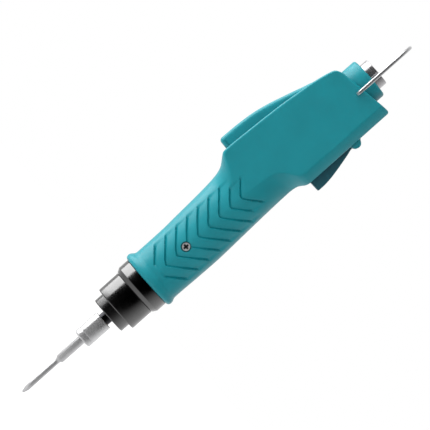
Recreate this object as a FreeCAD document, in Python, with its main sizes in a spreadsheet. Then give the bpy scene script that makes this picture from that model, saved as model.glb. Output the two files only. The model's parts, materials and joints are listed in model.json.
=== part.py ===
"""Electric torque screwdriver with a lever start, hung from its wire bail.

The model's Z axis is the spindle axis and points from the bit to the tail, as
the tool hangs.  The start lever is on the -X side, the reversing lever on the
+X side, and the two housing shells meet on the plane Y = 0.  The origin is
where a balancer's hook bears on the inside of the bail.  Every piece is drawn
with Z counted from the mouth of the grip and placed lower by one shift.
"""

import FreeCAD, Part
import math
import os

import Sketcher

Vector = FreeCAD.Vector
Rotation = FreeCAD.Rotation
Placement = FreeCAD.Placement

# Driving sizes in millimetres, degrees and counts.
SIZES = {
    # bit
    "bit_shank_dia": 5.0,
    "bit_blade_dia": 3.0,
    "bit_shank_out": 15.7,
    "bit_blade_len": 25.7,
    "bit_shoulder_len": 0.8,
    "bit_point_len": 3.2,
    "bit_point_dia": 0.9,
    "bit_depth": 18.4,
    "bit_drive_len": 3.0,
    "bit_drive_flat": 1.7,
    "bit_latch_cut": 0.5,
    "flute_width": 0.75,
    "flute_rise": 5.2,
    # quick change sleeve
    "sleeve_dia": 11.0,
    "sleeve_len": 15.5,
    "sleeve_bevel": 0.5,
    "sleeve_shoulder_at": 5.5,
    "sleeve_shoulder_len": 3.6,
    "sleeve_lip": 1.2,
    "latch_ball_dia": 1.5,
    "latch_ball_back": 7.9,
    "snap_ring_thick": 0.7,
    "snap_ring_back": 0.8,
    "snap_ring_wall": 1.35,
    "sleeve_spring_wire": 0.5,
    "sleeve_spring_turns": 2.5,
    # spindle
    "spindle_dia": 7.0,
    "spindle_gap": 3.1,
    "spindle_collar_dia": 9.0,
    "spindle_collar_len": 1.5,
    "spindle_tail_dia": 4.0,
    "cage_dia": 17.2,
    "cage_thick": 1.5,
    # torque nut
    "nut_nose_dia": 21.3,
    "nut_nose_len": 5.4,
    "nut_dia": 26.9,
    "nut_len": 13.4,
    "nut_bevel": 0.4,
    "nut_lip_len": 0.8,
    "nut_lip_dia": 7.8,
    "nut_front_wall": 3.8,
    "nut_bore_dia": 18.2,
    "bush_dia": 10.0,
    "thread_dia": 24.4,
    "nut_gap": 0.15,
    # clutch
    "washer_dia": 17.2,
    "washer_thick": 1.4,
    "torque_spring_dia": 15.4,
    "torque_spring_wire": 1.4,
    "torque_spring_turns": 4.5,
    "plate_dia": 18.6,
    "plate_thick": 2.5,
    "clutch_ball_dia": 3.0,
    "ball_count": 3,
    "lobe_rise": 0.65,
    "lobe_inner": 4.6,
    "lobe_outer": 7.4,
    "lobe_angle": 44.0,
    # barrel
    "flange_dia": 30.2,
    "flange_len": 6.0,
    "flange_cone_len": 2.4,
    "nose_len": 12.0,
    "chamber_dia": 19.4,
    "carrier_bush_dia": 20.8,
    "skirt_dia": 25.0,
    "skirt_wall": 1.25,
    # gears
    "gear_module": 0.5,
    "sun_teeth": 12,
    "planet_teeth": 12,
    "planet_count": 3,
    "pressure_angle": 25.0,
    "gear_width": 7.0,
    "gear_thinning": 0.04,
    "planet_pin_dia": 2.0,
    "pin_end_play": 0.5,
    "cam_dia": 18.0,
    "cam_thick": 3.5,
    "carrier_dia": 16.8,
    "carrier_thick": 2.6,
    "gear_space": 0.8,
    # motor
    "mount_thick": 6.0,
    "mount_hole_dia": 6.6,
    "motor_dia": 24.4,
    "motor_len": 44.0,
    "motor_wall": 1.0,
    "motor_boss_dia": 6.4,
    "motor_boss_len": 2.6,
    "shaft_dia": 2.3,
    "shaft_bush_dia": 5.0,
    "magnet_wall": 1.9,
    "magnet_len": 28.0,
    "magnet_angle": 140.0,
    "air_gap": 0.4,
    "core_len": 24.0,
    "core_slots": 5,
    "core_slot_width": 1.6,
    "core_slot_depth": 4.2,
    "winding_dia": 14.6,
    "winding_len": 3.5,
    "commutator_dia": 6.0,
    "commutator_len": 5.0,
    "end_cap_thick": 2.5,
    "end_cap_hub_dia": 7.0,
    "end_cap_hub_len": 2.6,
    "brush_width": 2.0,
    "brush_len": 3.0,
    "motor_screw_dia": 2.5,
    "motor_screw_pitch": 15.0,
    # grip
    "lip_dia": 34.0,
    "lip_at": 2.1,
    "lip_round": 2.4,
    "lip_fall": 6.5,
    "mouth_dia": 30.6,
    "neck_at": 6.4,
    "neck_dia": 30.8,
    "neck_shift": 0.45,
    "palm_at": 30.0,
    "palm_dia": 31.8,
    "palm_shift": 0.45,
    "heel_at": 58.0,
    "heel_dia": 32.5,
    "heel_shift": -0.75,
    "root_at": 86.0,
    "root_dia": 33.0,
    "root_shift": -1.9,
    "motor_room": 0.6,
    "rib_thick": 3.0,
    # chevron ribs
    "chevron_count": 8,
    "chevron_first": 13.2,
    "chevron_pitch": 7.5,
    "chevron_width": 1.1,
    "chevron_depth": 0.5,
    "chevron_arm": 13.2,
    "chevron_run": 10.4,
    "chevron_middle": 1.6,
    # head
    "head_width": 33.2,
    "tail_width": 29.2,
    "shoulder_foot_at": 60.0,
    "shoulder_foot": 17.1,
    "shoulder_hollow": 15.0,
    "shoulder_top_at": 72.6,
    "shoulder_top": 22.9,
    "brow_round": 4.0,
    "cheek_width": 8.0,
    "cheek_end_at": 79.0,
    "waist_at": 118.0,
    "brow_at": 75.2,
    "brow": 24.4,
    "crown_at": 108.0,
    "crown": 23.0,
    "tail_top_at": 146.0,
    "tail_top": 18.1,
    "tail_corner_at": 149.0,
    "tail_corner": 14.2,
    "tail_foot_at": 153.9,
    "belly": 18.2,
    "belly_step_at": 88.5,
    "belly_step_end": 97.0,
    "belly_in": 14.5,
    "belly_corner": 7.5,
    "rim_round": 0.9,
    "wall": 2.3,
    "tail_wall_at": 144.8,
    "cavity_front": 77.6,
    # levers
    "lever_width": 13.0,
    "lever_play": 0.3,
    "lever_pivot_at": 136.0,
    "lever_pivot_up": 16.6,
    "lever_front_at": 77.2,
    "lever_rise": 30.5,
    "lever_crest_at": 97.0,
    "lever_crest": 29.6,
    "lever_fall_at": 118.0,
    "lever_fall": 25.05,
    "lever_meet_at": 133.5,
    "lever_meet": 20.9,
    "lever_root": 19.6,
    "lever_eye_dia": 6.2,
    "lever_lean": 1.0,
    "lever_sweep": 300.0,
    "lever_tail_round": 8.0,
    "lever_edge": 2.2,
    "lever_pin_len": 24.0,
    "lever_lip": 2.0,
    "lever_spring_at": 103.0,
    "spring_dia": 4.4,
    "spring_wire": 0.5,
    "lever_spring_turns": 4.5,
    "spring_seat_up": 13.4,
    "lever_wall": 1.7,
    "lever_round": 1.6,
    "pin_dia": 2.0,
    "switch_arm": 18.0,
    "post_width": 2.4,
    "reverser_width": 9.8,
    "knuckle_at": 129.9,
    "knuckle_up": 18.2,
    "knuckle_dia": 6.2,
    "knuckle_width": 3.0,
    "reverser_front_at": 98.5,
    "reverser_rise": 24.3,
    "reverser_crest_at": 103.5,
    "reverser_fall_at": 116.0,
    "reverser_fall": 21.9,
    "reverser_root": 14.6,
    "reverser_eye_dia": 4.4,
    "reverser_round": 0.8,
    "reverser_edge": 0.5,
    "reverser_arm": 14.9,
    "reverser_pin_len": 15.4,
    # switches and board
    "switch_len": 12.8,
    "switch_high": 6.2,
    "switch_wide": 6.8,
    "button_dia": 2.4,
    "button_high": 1.3,
    "reverse_button_high": 2.1,
    "button_stem": 2.0,
    "contact_gap": 0.15,
    "start_switch_top": 11.8,
    "reverse_switch_top": 9.9,
    "board_thick": 1.6,
    "board_face": 3.4,
    "board_from": 89.0,
    "board_to": 136.5,
    "board_boss_dia": 4.4,
    "board_screw_dia": 2.0,
    "board_screw_len": 5.0,
    "board_low": 9.4,
    "board_up": 11.5,
    "capacitor_dia": 8.0,
    "capacitor_len": 12.0,
    "chip_size": 7.0,
    # case screws
    "case_screw_dia": 2.6,
    "case_screw_head": 4.8,
    "case_screw_head_high": 1.8,
    "case_boss_dia": 6.4,
    "front_boss_at": 83.2,
    "front_boss_up": 8.6,
    "rear_boss_at": 140.4,
    "rear_boss_up": 12.2,
    "case_screw_len": 20.0,
    "front_screw_seat": 13.0,
    "rear_screw_seat": 11.5,
    "grip_screw_room": 0.35,
    "grip_screw_at": 27.6,
    "grip_screw_head": 4.6,
    "grip_screw_head_high": 1.5,
    "grip_screw_len": 6.5,
    "grip_screw_sink": 0.7,
    # tail
    "boss_dia": 23.7,
    "boss_shift": 2.4,
    "boss_end": 158.4,
    "collar_seat_at": 149.2,
    "collar_spigot_dia": 22.0,
    "collar_flange_dia": 23.4,
    "collar_flange_len": 1.8,
    "boss_round": 1.3,
    "socket_dia": 16.0,
    "socket_thread_dia": 15.4,
    "socket_out": 4.9,
    "socket_flange_dia": 18.8,
    "socket_flange_len": 1.8,
    "socket_flange_at": 151.6,
    "socket_wall": 0.9,
    "socket_back_at": 146.6,
    "insert_sink": 0.8,
    "contact_count": 5,
    "contact_circle": 7.4,
    "contact_dia": 1.6,
    "contact_hole": 0.9,
    "contact_tail": 2.6,
    # bail
    "bail_wire": 2.0,
    "bail_pivot_at": 147.8,
    "bail_reach": 35.8,
    "bail_half": 16.3,
    "bail_bend": 2.0,
    "bail_tail": 4.0,
    # fits
    "slip": 0.05,
    "loose": 0.1,
    "press": 0.01,
    "face_gap": 0.05,
}


class Size:
    """A number together with the formula that ties it to the sheet."""

    def __init__(self, value, text):
        self.value = value
        self.text = text

    @staticmethod
    def of(other):
        return other if isinstance(other, Size) else Size(other, repr(other))

    def joined(self, other, sign, value):
        return Size(value, f"({self.text} {sign} {other.text})")

    def __add__(self, other):
        other = Size.of(other)
        return self.joined(other, "+", self.value + other.value)

    def __radd__(self, other):
        return Size.of(other) + self

    def __sub__(self, other):
        other = Size.of(other)
        return self.joined(other, "-", self.value - other.value)

    def __rsub__(self, other):
        return Size.of(other) - self

    def __mul__(self, other):
        other = Size.of(other)
        return self.joined(other, "*", self.value * other.value)

    def __rmul__(self, other):
        return Size.of(other) * self

    def __truediv__(self, other):
        other = Size.of(other)
        return self.joined(other, "/", self.value / other.value)

    def __rtruediv__(self, other):
        return Size.of(other) / self

    def __neg__(self):
        return Size(-self.value, f"(0 - {self.text})")


def root(size):
    """The square root of a size."""
    return Size(math.sqrt(size.value), f"sqrt({size.text})")


class Sizes:
    """Gives each driving size by its name, as the sheet holds it."""

    def __init__(self, sheet):
        self.sheet = sheet

    def __getattr__(self, name):
        return Size(float(self.sheet.get(name)), f"Sizes.{name}")


def filled_sheet():
    """Writes every driving size into a sheet, one named cell a row."""
    sheet = doc.addObject("Spreadsheet::Sheet", "Sizes")
    for row, (name, number) in enumerate(SIZES.items(), start=1):
        sheet.set(f"A{row}", name)
        sheet.set(f"B{row}", str(number))
        sheet.setAlias(f"B{row}", name)
    doc.recompute()
    return sheet


doc = FreeCAD.newDocument("torque_screwdriver")
s = Sizes(filled_sheet())
pieces = []

# Places along the axis, counted from the mouth of the grip towards the tail.
flange_front = -s.flange_len
cone_front = flange_front - s.flange_cone_len
nut_rear = cone_front - s.nut_gap
nut_step = nut_rear - s.nut_len
nut_front = nut_step - s.nut_nose_len
sleeve_rear = nut_front - s.spindle_gap
sleeve_front = sleeve_rear - s.sleeve_len
spindle_front = sleeve_front + s.loose
blade_start = sleeve_front - s.bit_shank_out
bit_end = blade_start - s.bit_blade_len
bit_back = sleeve_front + s.bit_depth
barrel_front = cone_front - s.nose_len
nut_inner_face = nut_front + s.nut_front_wall
cam_front = -s.lobe_rise
cam_rear = cam_front + s.cam_thick
ball_centre = cam_front - s.face_gap - s.clutch_ball_dia / 2
cage_front = ball_centre - s.cage_thick / 2
cage_rear = ball_centre + s.cage_thick / 2
plate_rear = ball_centre - s.clutch_ball_dia / 2 - s.face_gap
plate_front = plate_rear - s.plate_thick
washer_front = nut_inner_face + s.face_gap
washer_rear = washer_front + s.washer_thick
gears_2_front = cam_rear + s.gear_space
gears_2_rear = gears_2_front + s.gear_width
carrier_front = gears_2_rear + s.gear_space
carrier_rear = carrier_front + s.carrier_thick
gears_1_front = carrier_rear + s.gear_space
gears_1_rear = gears_1_front + s.gear_width
ring_front = cam_rear + s.loose * 3
mount_rear = s.grip_screw_at + s.mount_thick / 2
mount_front = mount_rear - s.mount_thick
ring_rear = mount_front - s.loose
motor_front = mount_rear + s.face_gap
motor_rear = motor_front + s.motor_len
magnet_middle = motor_front + s.motor_len / 2 - 1.0
hang = s.bail_pivot_at + s.bail_reach

# Radii that several pieces share.
sun_radius = s.gear_module * s.sun_teeth / 2
planet_radius = s.gear_module * s.planet_teeth / 2
orbit_radius = sun_radius + planet_radius
ring_teeth = s.sun_teeth + s.planet_teeth * 2
ring_radius = s.gear_module * ring_teeth / 2
ADDENDUM = 0.8
DEDENDUM = 1.1
skirt_inner = s.skirt_dia / 2 - s.skirt_wall
gear_case = skirt_inner - s.face_gap
lever_slot = s.lever_width / 2 + s.lever_play
reverser_slot = s.reverser_width / 2 + s.lever_play
half_head = s.head_width / 2


def tie(item, name, size):
    """Binds one property to a formula of the sheet."""
    item.setExpression(name, Size.of(size).text)


def keep(item, label):
    """Names a finished piece and marks it to be written out."""
    item.Label = label
    pieces.append(item)
    return item


def stand(item, x=0, y=0, z=0, turn=None):
    """Sets a piece at x, y and z, counted from the mouth of the grip, and ties its place."""
    x, y, z = (Size.of(v) for v in (x, y, z))
    z = z - hang
    item.Placement = Placement(
        Vector(x.value, y.value, z.value), turn or Rotation()
    )
    for axis, size in (("x", x), ("y", y), ("z", z)):
        tie(item, f"Placement.Base.{axis}", size)
    return item


def new_body(name):
    """A design body that stands on the mouth of the grip."""
    body = doc.addObject("PartDesign::Body", name)
    stand(body)
    return body


def new_sketch(body, name, plane, offset=0):
    """A sketch on one of the body's own planes, set off along the plane's normal."""
    drawing = body.newObject("Sketcher::SketchObject", name)
    support = [f for f in body.Origin.OriginFeatures if f.Role == plane + "_Plane"]
    drawing.AttachmentSupport = [(support[0], "")]
    drawing.MapMode = "FlatFace"
    offset = Size.of(offset)
    drawing.AttachmentOffset = Placement(Vector(0, 0, offset.value), Rotation())
    tie(drawing, "AttachmentOffset.Base.z", offset)
    return drawing


def arc_between(start, end, radius):
    """The arc from start to end that turns left for a positive radius, right for a negative one."""
    if radius < 0:
        start, end = end, start
    size = abs(radius)
    chord = end - start
    middle = (start + end) / 2
    height = math.sqrt(max(size * size - chord.Length**2 / 4, 0.0))
    left = Vector(-chord.y, chord.x, 0).normalize()
    centre = middle + left * height
    first = math.atan2(start.y - centre.y, start.x - centre.x)
    last = math.atan2(end.y - centre.y, end.x - centre.x)
    if last < first:
        last += 2 * math.pi
    circle = Part.Circle(centre, Vector(0, 0, 1), size)
    return Part.ArcOfCircle(circle, first, last)


def outline(drawing, corners):
    """Draws a closed line through corners (x, y), or (x, y, radius) where an arc leaves the corner."""
    corners = [
        (Size.of(c[0]), Size.of(c[1]), Size.of(c[2]) if len(c) > 2 else None)
        for c in corners
    ]
    first = drawing.GeometryCount
    ends = []
    for number, corner in enumerate(corners):
        follower = corners[(number + 1) % len(corners)]
        start = Vector(corner[0].value, corner[1].value, 0)
        end = Vector(follower[0].value, follower[1].value, 0)
        if corner[2] is None:
            drawing.addGeometry(Part.LineSegment(start, end), False)
            ends.append((1, 2))
        else:
            drawing.addGeometry(arc_between(start, end, corner[2].value), False)
            ends.append((1, 2) if corner[2].value > 0 else (2, 1))
    for number, corner in enumerate(corners):
        piece = first + number
        after = (number + 1) % len(corners)
        drawing.addConstraint(
            Sketcher.Constraint(
                "Coincident", piece, ends[number][1], first + after, ends[after][0]
            )
        )
        for kind, size in (("DistanceX", corner[0]), ("DistanceY", corner[1])):
            bound = drawing.addConstraint(
                Sketcher.Constraint(kind, -1, 1, piece, ends[number][0], size.value)
            )
            tie(drawing, f"Constraints[{bound}]", size)
        if corner[2] is not None:
            radius = corner[2] if corner[2].value > 0 else -corner[2]
            bound = drawing.addConstraint(
                Sketcher.Constraint("Radius", piece, radius.value)
            )
            tie(drawing, f"Constraints[{bound}]", radius)
    return drawing


def circle(drawing, x, y, radius):
    """Draws a circle whose centre and radius are tied to the sheet."""
    x, y, radius = (Size.of(v) for v in (x, y, radius))
    ring = drawing.addGeometry(
        Part.Circle(Vector(x.value, y.value, 0), Vector(0, 0, 1), radius.value), False
    )
    for kind, size in (("DistanceX", x), ("DistanceY", y)):
        bound = drawing.addConstraint(
            Sketcher.Constraint(kind, -1, 1, ring, 3, size.value)
        )
        tie(drawing, f"Constraints[{bound}]", size)
    bound = drawing.addConstraint(Sketcher.Constraint("Radius", ring, radius.value))
    tie(drawing, f"Constraints[{bound}]", radius)
    return drawing


def turned(name, profile, body=None):
    """Turns a profile of (radius, along) corners round the axis."""
    body = body or new_body(name)
    drawing = outline(new_sketch(body, f"{name}_profile", "XZ"), profile)
    feature = body.newObject("PartDesign::Revolution", f"{name}_turned")
    feature.Profile = drawing
    feature.ReferenceAxis = (drawing, ["V_Axis"])
    feature.Angle = 360
    drawing.Visibility = False
    return body


def grooved(body, name, profile):
    """Cuts a turned groove out of a body."""
    drawing = outline(new_sketch(body, f"{name}_profile", "XZ"), profile)
    feature = body.newObject("PartDesign::Groove", name)
    feature.Profile = drawing
    feature.ReferenceAxis = (drawing, ["V_Axis"])
    feature.Angle = 360
    return body


def padded(body, drawing, name, length, midplane=False, reverse=False):
    """Raises a sketch into a solid, to one side or to both."""
    feature = body.newObject("PartDesign::Pad", name)
    feature.Profile = drawing
    tie(feature, "Length", length)
    feature.Length = Size.of(length).value
    feature.Midplane = midplane
    feature.Reversed = reverse
    return feature


def pocketed(body, drawing, name, length, midplane=False, reverse=False):
    """Cuts a sketch into a solid, to one side or to both."""
    feature = body.newObject("PartDesign::Pocket", name)
    feature.Profile = drawing
    tie(feature, "Length", length)
    feature.Length = Size.of(length).value
    feature.Midplane = midplane
    feature.Reversed = reverse
    return feature


def turned_ring(name, inner, outer, start, end):
    """A plain ring or bush round the axis."""
    return turned(
        name, [(inner, start), (outer, start), (outer, end), (inner, end)]
    )


def round_pattern(body, feature, name, count):
    """Repeats a feature round the axis."""
    pattern = body.newObject("PartDesign::PolarPattern", name)
    pattern.Originals = [feature]
    axis = [f for f in body.Origin.OriginFeatures if f.Role == "Z_Axis"][0]
    pattern.Axis = (axis, [""])
    pattern.Angle = 360
    tie(pattern, "Occurrences", count)
    pattern.Occurrences = number_of(count)
    body.Tip = pattern
    return pattern


def rod(name, radius, length, x=0, y=0, z=0, turn=None):
    """A plain cylinder whose sizes and place are tied to the sheet."""
    item = doc.addObject("Part::Cylinder", name)
    item.Radius = Size.of(radius).value
    item.Height = Size.of(length).value
    tie(item, "Radius", radius)
    tie(item, "Height", length)
    return stand(item, x, y, z, turn)


def block(name, low, high):
    """A box between two corners, both tied to the sheet."""
    item = doc.addObject("Part::Box", name)
    for side, (least, most) in zip(("Length", "Width", "Height"), zip(low, high)):
        size = Size.of(most) - Size.of(least)
        setattr(item, side, size.value)
        tie(item, side, size)
    return stand(item, *low)


def fused(name, items):
    """Joins several solids into one."""
    item = doc.addObject("Part::MultiFuse", name)
    item.Shapes = items
    item.Refine = False
    return item


def cut(name, base, tool):
    """Takes one solid away from another."""
    item = doc.addObject("Part::Cut", name)
    item.Base = base
    item.Tool = tool
    item.Refine = False
    return item


def common(name, items):
    """Keeps what several solids share."""
    item = doc.addObject("Part::MultiCommon", name)
    item.Shapes = items
    return item


def group(name, items):
    """Holds several separate solids that share one name."""
    item = doc.addObject("Part::Compound", name)
    item.Links = items
    return item


def fixed(name, shape, x=0, y=0, z=0, turn=None):
    """A piece whose form comes from a formula, then placed like the others."""
    item = doc.addObject("Part::Feature", name)
    item.Shape = shape
    return stand(item, x, y, z, turn)


ACROSS = Rotation(Vector(1, 0, 0), 90)  # a cylinder's own axis laid from +Y to -Y
DOWN_X = Rotation(Vector(0, 1, 0), 90)  # a cylinder's own axis laid along +X


# The bit: a shank with a latch groove and a flat, a blade and a crossed point.
def make_bit():
    shank = s.bit_shank_dia / 2
    blade = s.bit_blade_dia / 2
    point = s.bit_point_dia / 2
    body = turned(
        "screwdriver_bit",
        [
            (0, bit_end),
            (point, bit_end),
            (blade, bit_end + s.bit_point_len),
            (blade, blade_start - s.bit_shoulder_len),
            (shank, blade_start),
            (shank, bit_back),
            (0, bit_back),
        ],
    )
    latch = spindle_front + s.latch_ball_back
    reach = s.latch_ball_dia / 2 + s.loose
    grooved(
        body,
        "latch_groove",
        [
            (shank - s.bit_latch_cut, latch - reach),
            (shank + s.loose, latch - reach),
            (shank + s.loose, latch + reach),
            (shank - s.bit_latch_cut, latch + reach),
        ],
    )
    far = shank + s.loose
    flat = outline(
        new_sketch(body, "drive_flat_outline", "XY", bit_back - s.bit_drive_len),
        [(s.bit_drive_flat, -far), (far, -far), (far, far), (s.bit_drive_flat, far)],
    )
    pocketed(body, flat, "drive_flat", s.bit_drive_len, reverse=True)
    flute = new_sketch(body, "flute_outline", "XZ", -far)
    outline(
        flute,
        [
            (s.flute_width / 2, bit_end - s.loose),
            (far, bit_end - s.loose),
            (far, bit_end + s.flute_rise),
            (blade, bit_end + s.flute_rise),
        ],
    )
    # The flute runs along the blade as a corner cut between two wings.
    cutter = body.newObject("PartDesign::Pocket", "flute")
    cutter.Profile = flute
    tie(cutter, "Length", far - s.flute_width / 2)
    cutter.Length = (far - s.flute_width / 2).value
    cutter.Reversed = False
    doc.recompute()
    round_pattern(body, cutter, "flutes", 4)
    return keep(body, "screwdriver_bit")


# The output spindle: bit socket, ball cage and tail in one piece.
def make_spindle():
    outer = s.spindle_dia / 2
    collar = s.spindle_collar_dia / 2
    collar_front = sleeve_front + s.sleeve_shoulder_at + s.sleeve_shoulder_len + s.face_gap
    socket = s.bit_shank_dia / 2 + s.slip
    socket_end = bit_back - s.bit_drive_len + s.loose
    body = turned(
        "spindle",
        [
            (socket, spindle_front),
            (outer, spindle_front),
            (outer, collar_front),
            (collar, collar_front),
            (collar, collar_front + s.spindle_collar_len),
            (outer, collar_front + s.spindle_collar_len),
            (outer, cage_front),
            (s.cage_dia / 2, cage_front),
            (s.cage_dia / 2, cage_rear),
            (s.spindle_tail_dia / 2, cage_rear),
            (s.spindle_tail_dia / 2, cam_rear - s.loose),
            (0, cam_rear - s.loose),
            (0, socket_end),
            (socket, socket_end),
        ],
    )
    ring = spindle_front + s.snap_ring_back
    grooved(
        body,
        "snap_ring_groove",
        [
            (outer - 0.4, ring - s.face_gap),
            (outer + s.loose, ring - s.face_gap),
            (outer + s.loose, ring + s.snap_ring_thick + s.face_gap),
            (outer - 0.4, ring + s.snap_ring_thick + s.face_gap),
        ],
    )
    doc.recompute()
    flat = s.bit_drive_flat + s.slip
    half = root(socket * socket - flat * flat)
    key = new_sketch(body, "drive_socket_outline", "XY", socket_end)
    outline(key, [(flat, half, socket), (-socket, 0, socket), (flat, -half)])
    pocketed(body, key, "drive_socket", s.bit_drive_len + s.loose * 2, reverse=True)
    latch = new_sketch(body, "latch_hole_outline", "XZ")
    circle(latch, 0, spindle_front + s.latch_ball_back, s.latch_ball_dia / 2 + s.slip)
    pocketed(body, latch, "latch_holes", s.spindle_dia + 1.0, midplane=True)
    pocket = new_sketch(body, "ball_pocket_outline", "XY", cage_front - s.loose)
    circle(pocket, orbit_radius, 0, s.clutch_ball_dia / 2 + s.slip)
    holes = pocketed(body, pocket, "ball_pocket", s.cage_thick + s.loose * 2, reverse=True)
    doc.recompute()
    round_pattern(body, holes, "ball_pockets", s.ball_count)
    return keep(body, "spindle")


# The quick change sleeve, pulled forwards against its spring to free the bit.
def make_sleeve():
    outer = s.sleeve_dia / 2
    inner = s.spindle_dia / 2 + s.slip
    room = s.spindle_collar_dia / 2 + s.loose
    shoulder = sleeve_front + s.sleeve_shoulder_at
    turned(
        "bit_sleeve",
        [
            (room, sleeve_front),
            (outer - s.sleeve_bevel, sleeve_front),
            (outer, sleeve_front + s.sleeve_bevel),
            (outer, sleeve_rear - s.sleeve_bevel),
            (outer - s.sleeve_bevel, sleeve_rear),
            (inner + s.slip, sleeve_rear),
            (inner + s.slip, sleeve_rear - s.sleeve_lip),
            (room, sleeve_rear - s.sleeve_lip),
            (room, shoulder + s.sleeve_shoulder_len),
            (inner, shoulder + s.sleeve_shoulder_len),
            (inner, shoulder),
            (room, shoulder),
        ],
    )
    return keep(doc.getObject("bit_sleeve"), "bit_sleeve")


def make_latch():
    """The snap ring, the two latch balls and the sleeve's spring."""
    ring = spindle_front + s.snap_ring_back
    hold = s.spindle_dia / 2 - 0.4
    keep(
        turned_ring("snap_ring", hold + s.press, hold + s.snap_ring_wall, ring, ring + s.snap_ring_thick),
        "snap_ring",
    )
    balls = []
    out = s.spindle_dia / 2 + s.slip - s.latch_ball_dia / 2 - s.press
    for number, side in enumerate((out, -out)):
        ball = doc.addObject("Part::Sphere", f"latch_ball_{number}")
        ball.Radius = s.latch_ball_dia.value / 2
        tie(ball, "Radius", s.latch_ball_dia / 2)
        stand(ball, 0, side, spindle_front + s.latch_ball_back)
        balls.append(ball)
    keep(group("latch_balls", balls), "latch_balls")
    start = ring + s.snap_ring_thick + s.face_gap * 2
    end = sleeve_front + s.sleeve_shoulder_at - s.face_gap
    middle = (s.spindle_dia + s.spindle_collar_dia) / 4 + s.face_gap
    keep(
        coil("sleeve_spring", middle, s.sleeve_spring_wire, s.sleeve_spring_turns, start, end),
        "sleeve_spring",
    )


def coil(name, radius, wire, turns, start, end):
    """A spring of square wire between two places on the axis."""
    height = (end - start) - wire
    spine = doc.addObject("Part::Helix", f"{name}_line")
    spine.Pitch = (height / turns).value
    spine.Height = height.value
    spine.Radius = radius.value
    tie(spine, "Pitch", height / turns)
    tie(spine, "Height", height)
    tie(spine, "Radius", radius)
    stand(spine, 0, 0, start + wire / 2)
    section = doc.addObject("Part::Plane", f"{name}_section")
    section.Length = wire.value
    section.Width = wire.value
    tie(section, "Length", wire)
    tie(section, "Width", wire)
    stand(section, radius - wire / 2, 0, start, Rotation(Vector(1, 0, 0), 90))
    sweep = doc.addObject("Part::Sweep", name)
    sweep.Sections = [section]
    sweep.Spine = (spine, [])
    sweep.Solid = True
    sweep.Frenet = True
    return sweep


# The torque nut: a stepped cap on the barrel's thread, with the nose bush in it.
def make_nut():
    bush = s.bush_dia / 2
    body = turned(
        "torque_nut",
        [
            (s.nut_lip_dia / 2, nut_front),
            (s.nut_nose_dia / 2 - s.nut_bevel, nut_front),
            (s.nut_nose_dia / 2, nut_front + s.nut_bevel),
            (s.nut_nose_dia / 2, nut_step),
            (s.nut_dia / 2 - s.nut_bevel, nut_step),
            (s.nut_dia / 2, nut_step + s.nut_bevel),
            (s.nut_dia / 2, nut_rear),
            (s.thread_dia / 2 + s.slip, nut_rear),
            (s.thread_dia / 2 + s.slip, barrel_front - s.loose * 3),
            (s.nut_bore_dia / 2, barrel_front - s.loose * 3),
            (s.nut_bore_dia / 2, nut_inner_face),
            (bush, nut_inner_face),
            (bush, nut_front + s.nut_lip_len),
            (s.nut_lip_dia / 2, nut_front + s.nut_lip_len),
        ],
    )
    keep(body, "torque_nut")
    keep(
        turned_ring(
            "nose_bush",
            s.spindle_dia / 2 + s.slip,
            bush - s.press,
            nut_front + s.nut_lip_len + s.press,
            nut_inner_face,
        ),
        "nose_bush",
    )


# The slipping clutch: thrust washer, torque spring, plate and balls.
def make_clutch():
    hole = s.spindle_dia / 2
    keep(
        turned_ring("thrust_washer", hole + s.loose * 4, s.washer_dia / 2, washer_front, washer_rear),
        "thrust_washer",
    )
    keep(
        coil(
            "torque_spring",
            s.torque_spring_dia / 2 - s.torque_spring_wire / 2,
            s.torque_spring_wire,
            s.torque_spring_turns,
            washer_rear + s.face_gap,
            plate_front - s.face_gap,
        ),
        "torque_spring",
    )
    keep(
        turned_ring("clutch_plate", hole + s.slip, s.plate_dia / 2, plate_front, plate_rear),
        "clutch_plate",
    )
    balls = []
    for number in range(number_of(s.ball_count)):
        ball = doc.addObject("Part::Sphere", f"clutch_ball_{number}")
        ball.Radius = s.clutch_ball_dia.value / 2
        tie(ball, "Radius", s.clutch_ball_dia / 2)
        x, y = on_orbit(number, s.ball_count)
        stand(ball, x, y, ball_centre)
        balls.append(ball)
    keep(group("clutch_balls", balls), "clutch_balls")


def on_orbit(number, count):
    """Where piece number of count stands on the planets' circle."""
    angle = number * 2 * math.pi / count.value
    turn = f"({number} * 360 / {count.text})"
    return (
        Size(orbit_radius.value * math.cos(angle), f"({orbit_radius.text} * cos({turn}))"),
        Size(orbit_radius.value * math.sin(angle), f"({orbit_radius.text} * sin({turn}))"),
    )


# The barrel: flange, thread and gear case, held in the grip by two screws.
def make_barrel():
    skirt = s.skirt_dia / 2
    body = turned(
        "clutch_barrel",
        [
            (s.chamber_dia / 2, barrel_front),
            (s.thread_dia / 2 - s.nut_bevel, barrel_front),
            (s.thread_dia / 2, barrel_front + s.nut_bevel),
            (s.thread_dia / 2, cone_front),
            (s.nut_dia / 2, cone_front),
            (s.flange_dia / 2, flange_front),
            (s.flange_dia / 2, -s.face_gap),
            (skirt, -s.face_gap),
            (skirt, mount_rear),
            (skirt_inner, mount_rear),
            (skirt_inner, ring_front - s.face_gap),
            (s.carrier_bush_dia / 2, ring_front - s.face_gap),
            (s.carrier_bush_dia / 2, cam_front),
            (s.chamber_dia / 2, cam_front),
        ],
    )
    doc.recompute()
    hole = new_sketch(body, "screw_hole_outline", "XZ")
    circle(hole, 0, s.grip_screw_at, s.case_screw_dia / 2 + s.slip)
    pocketed(body, hole, "screw_holes", s.flange_dia, midplane=True)
    keep(body, "clutch_barrel")
    keep(
        turned_ring(
            "carrier_bush",
            s.cam_dia / 2 + s.slip,
            s.carrier_bush_dia / 2 - s.press,
            cam_front + s.face_gap,
            ring_front - s.face_gap * 2,
        ),
        "carrier_bush",
    )


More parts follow.
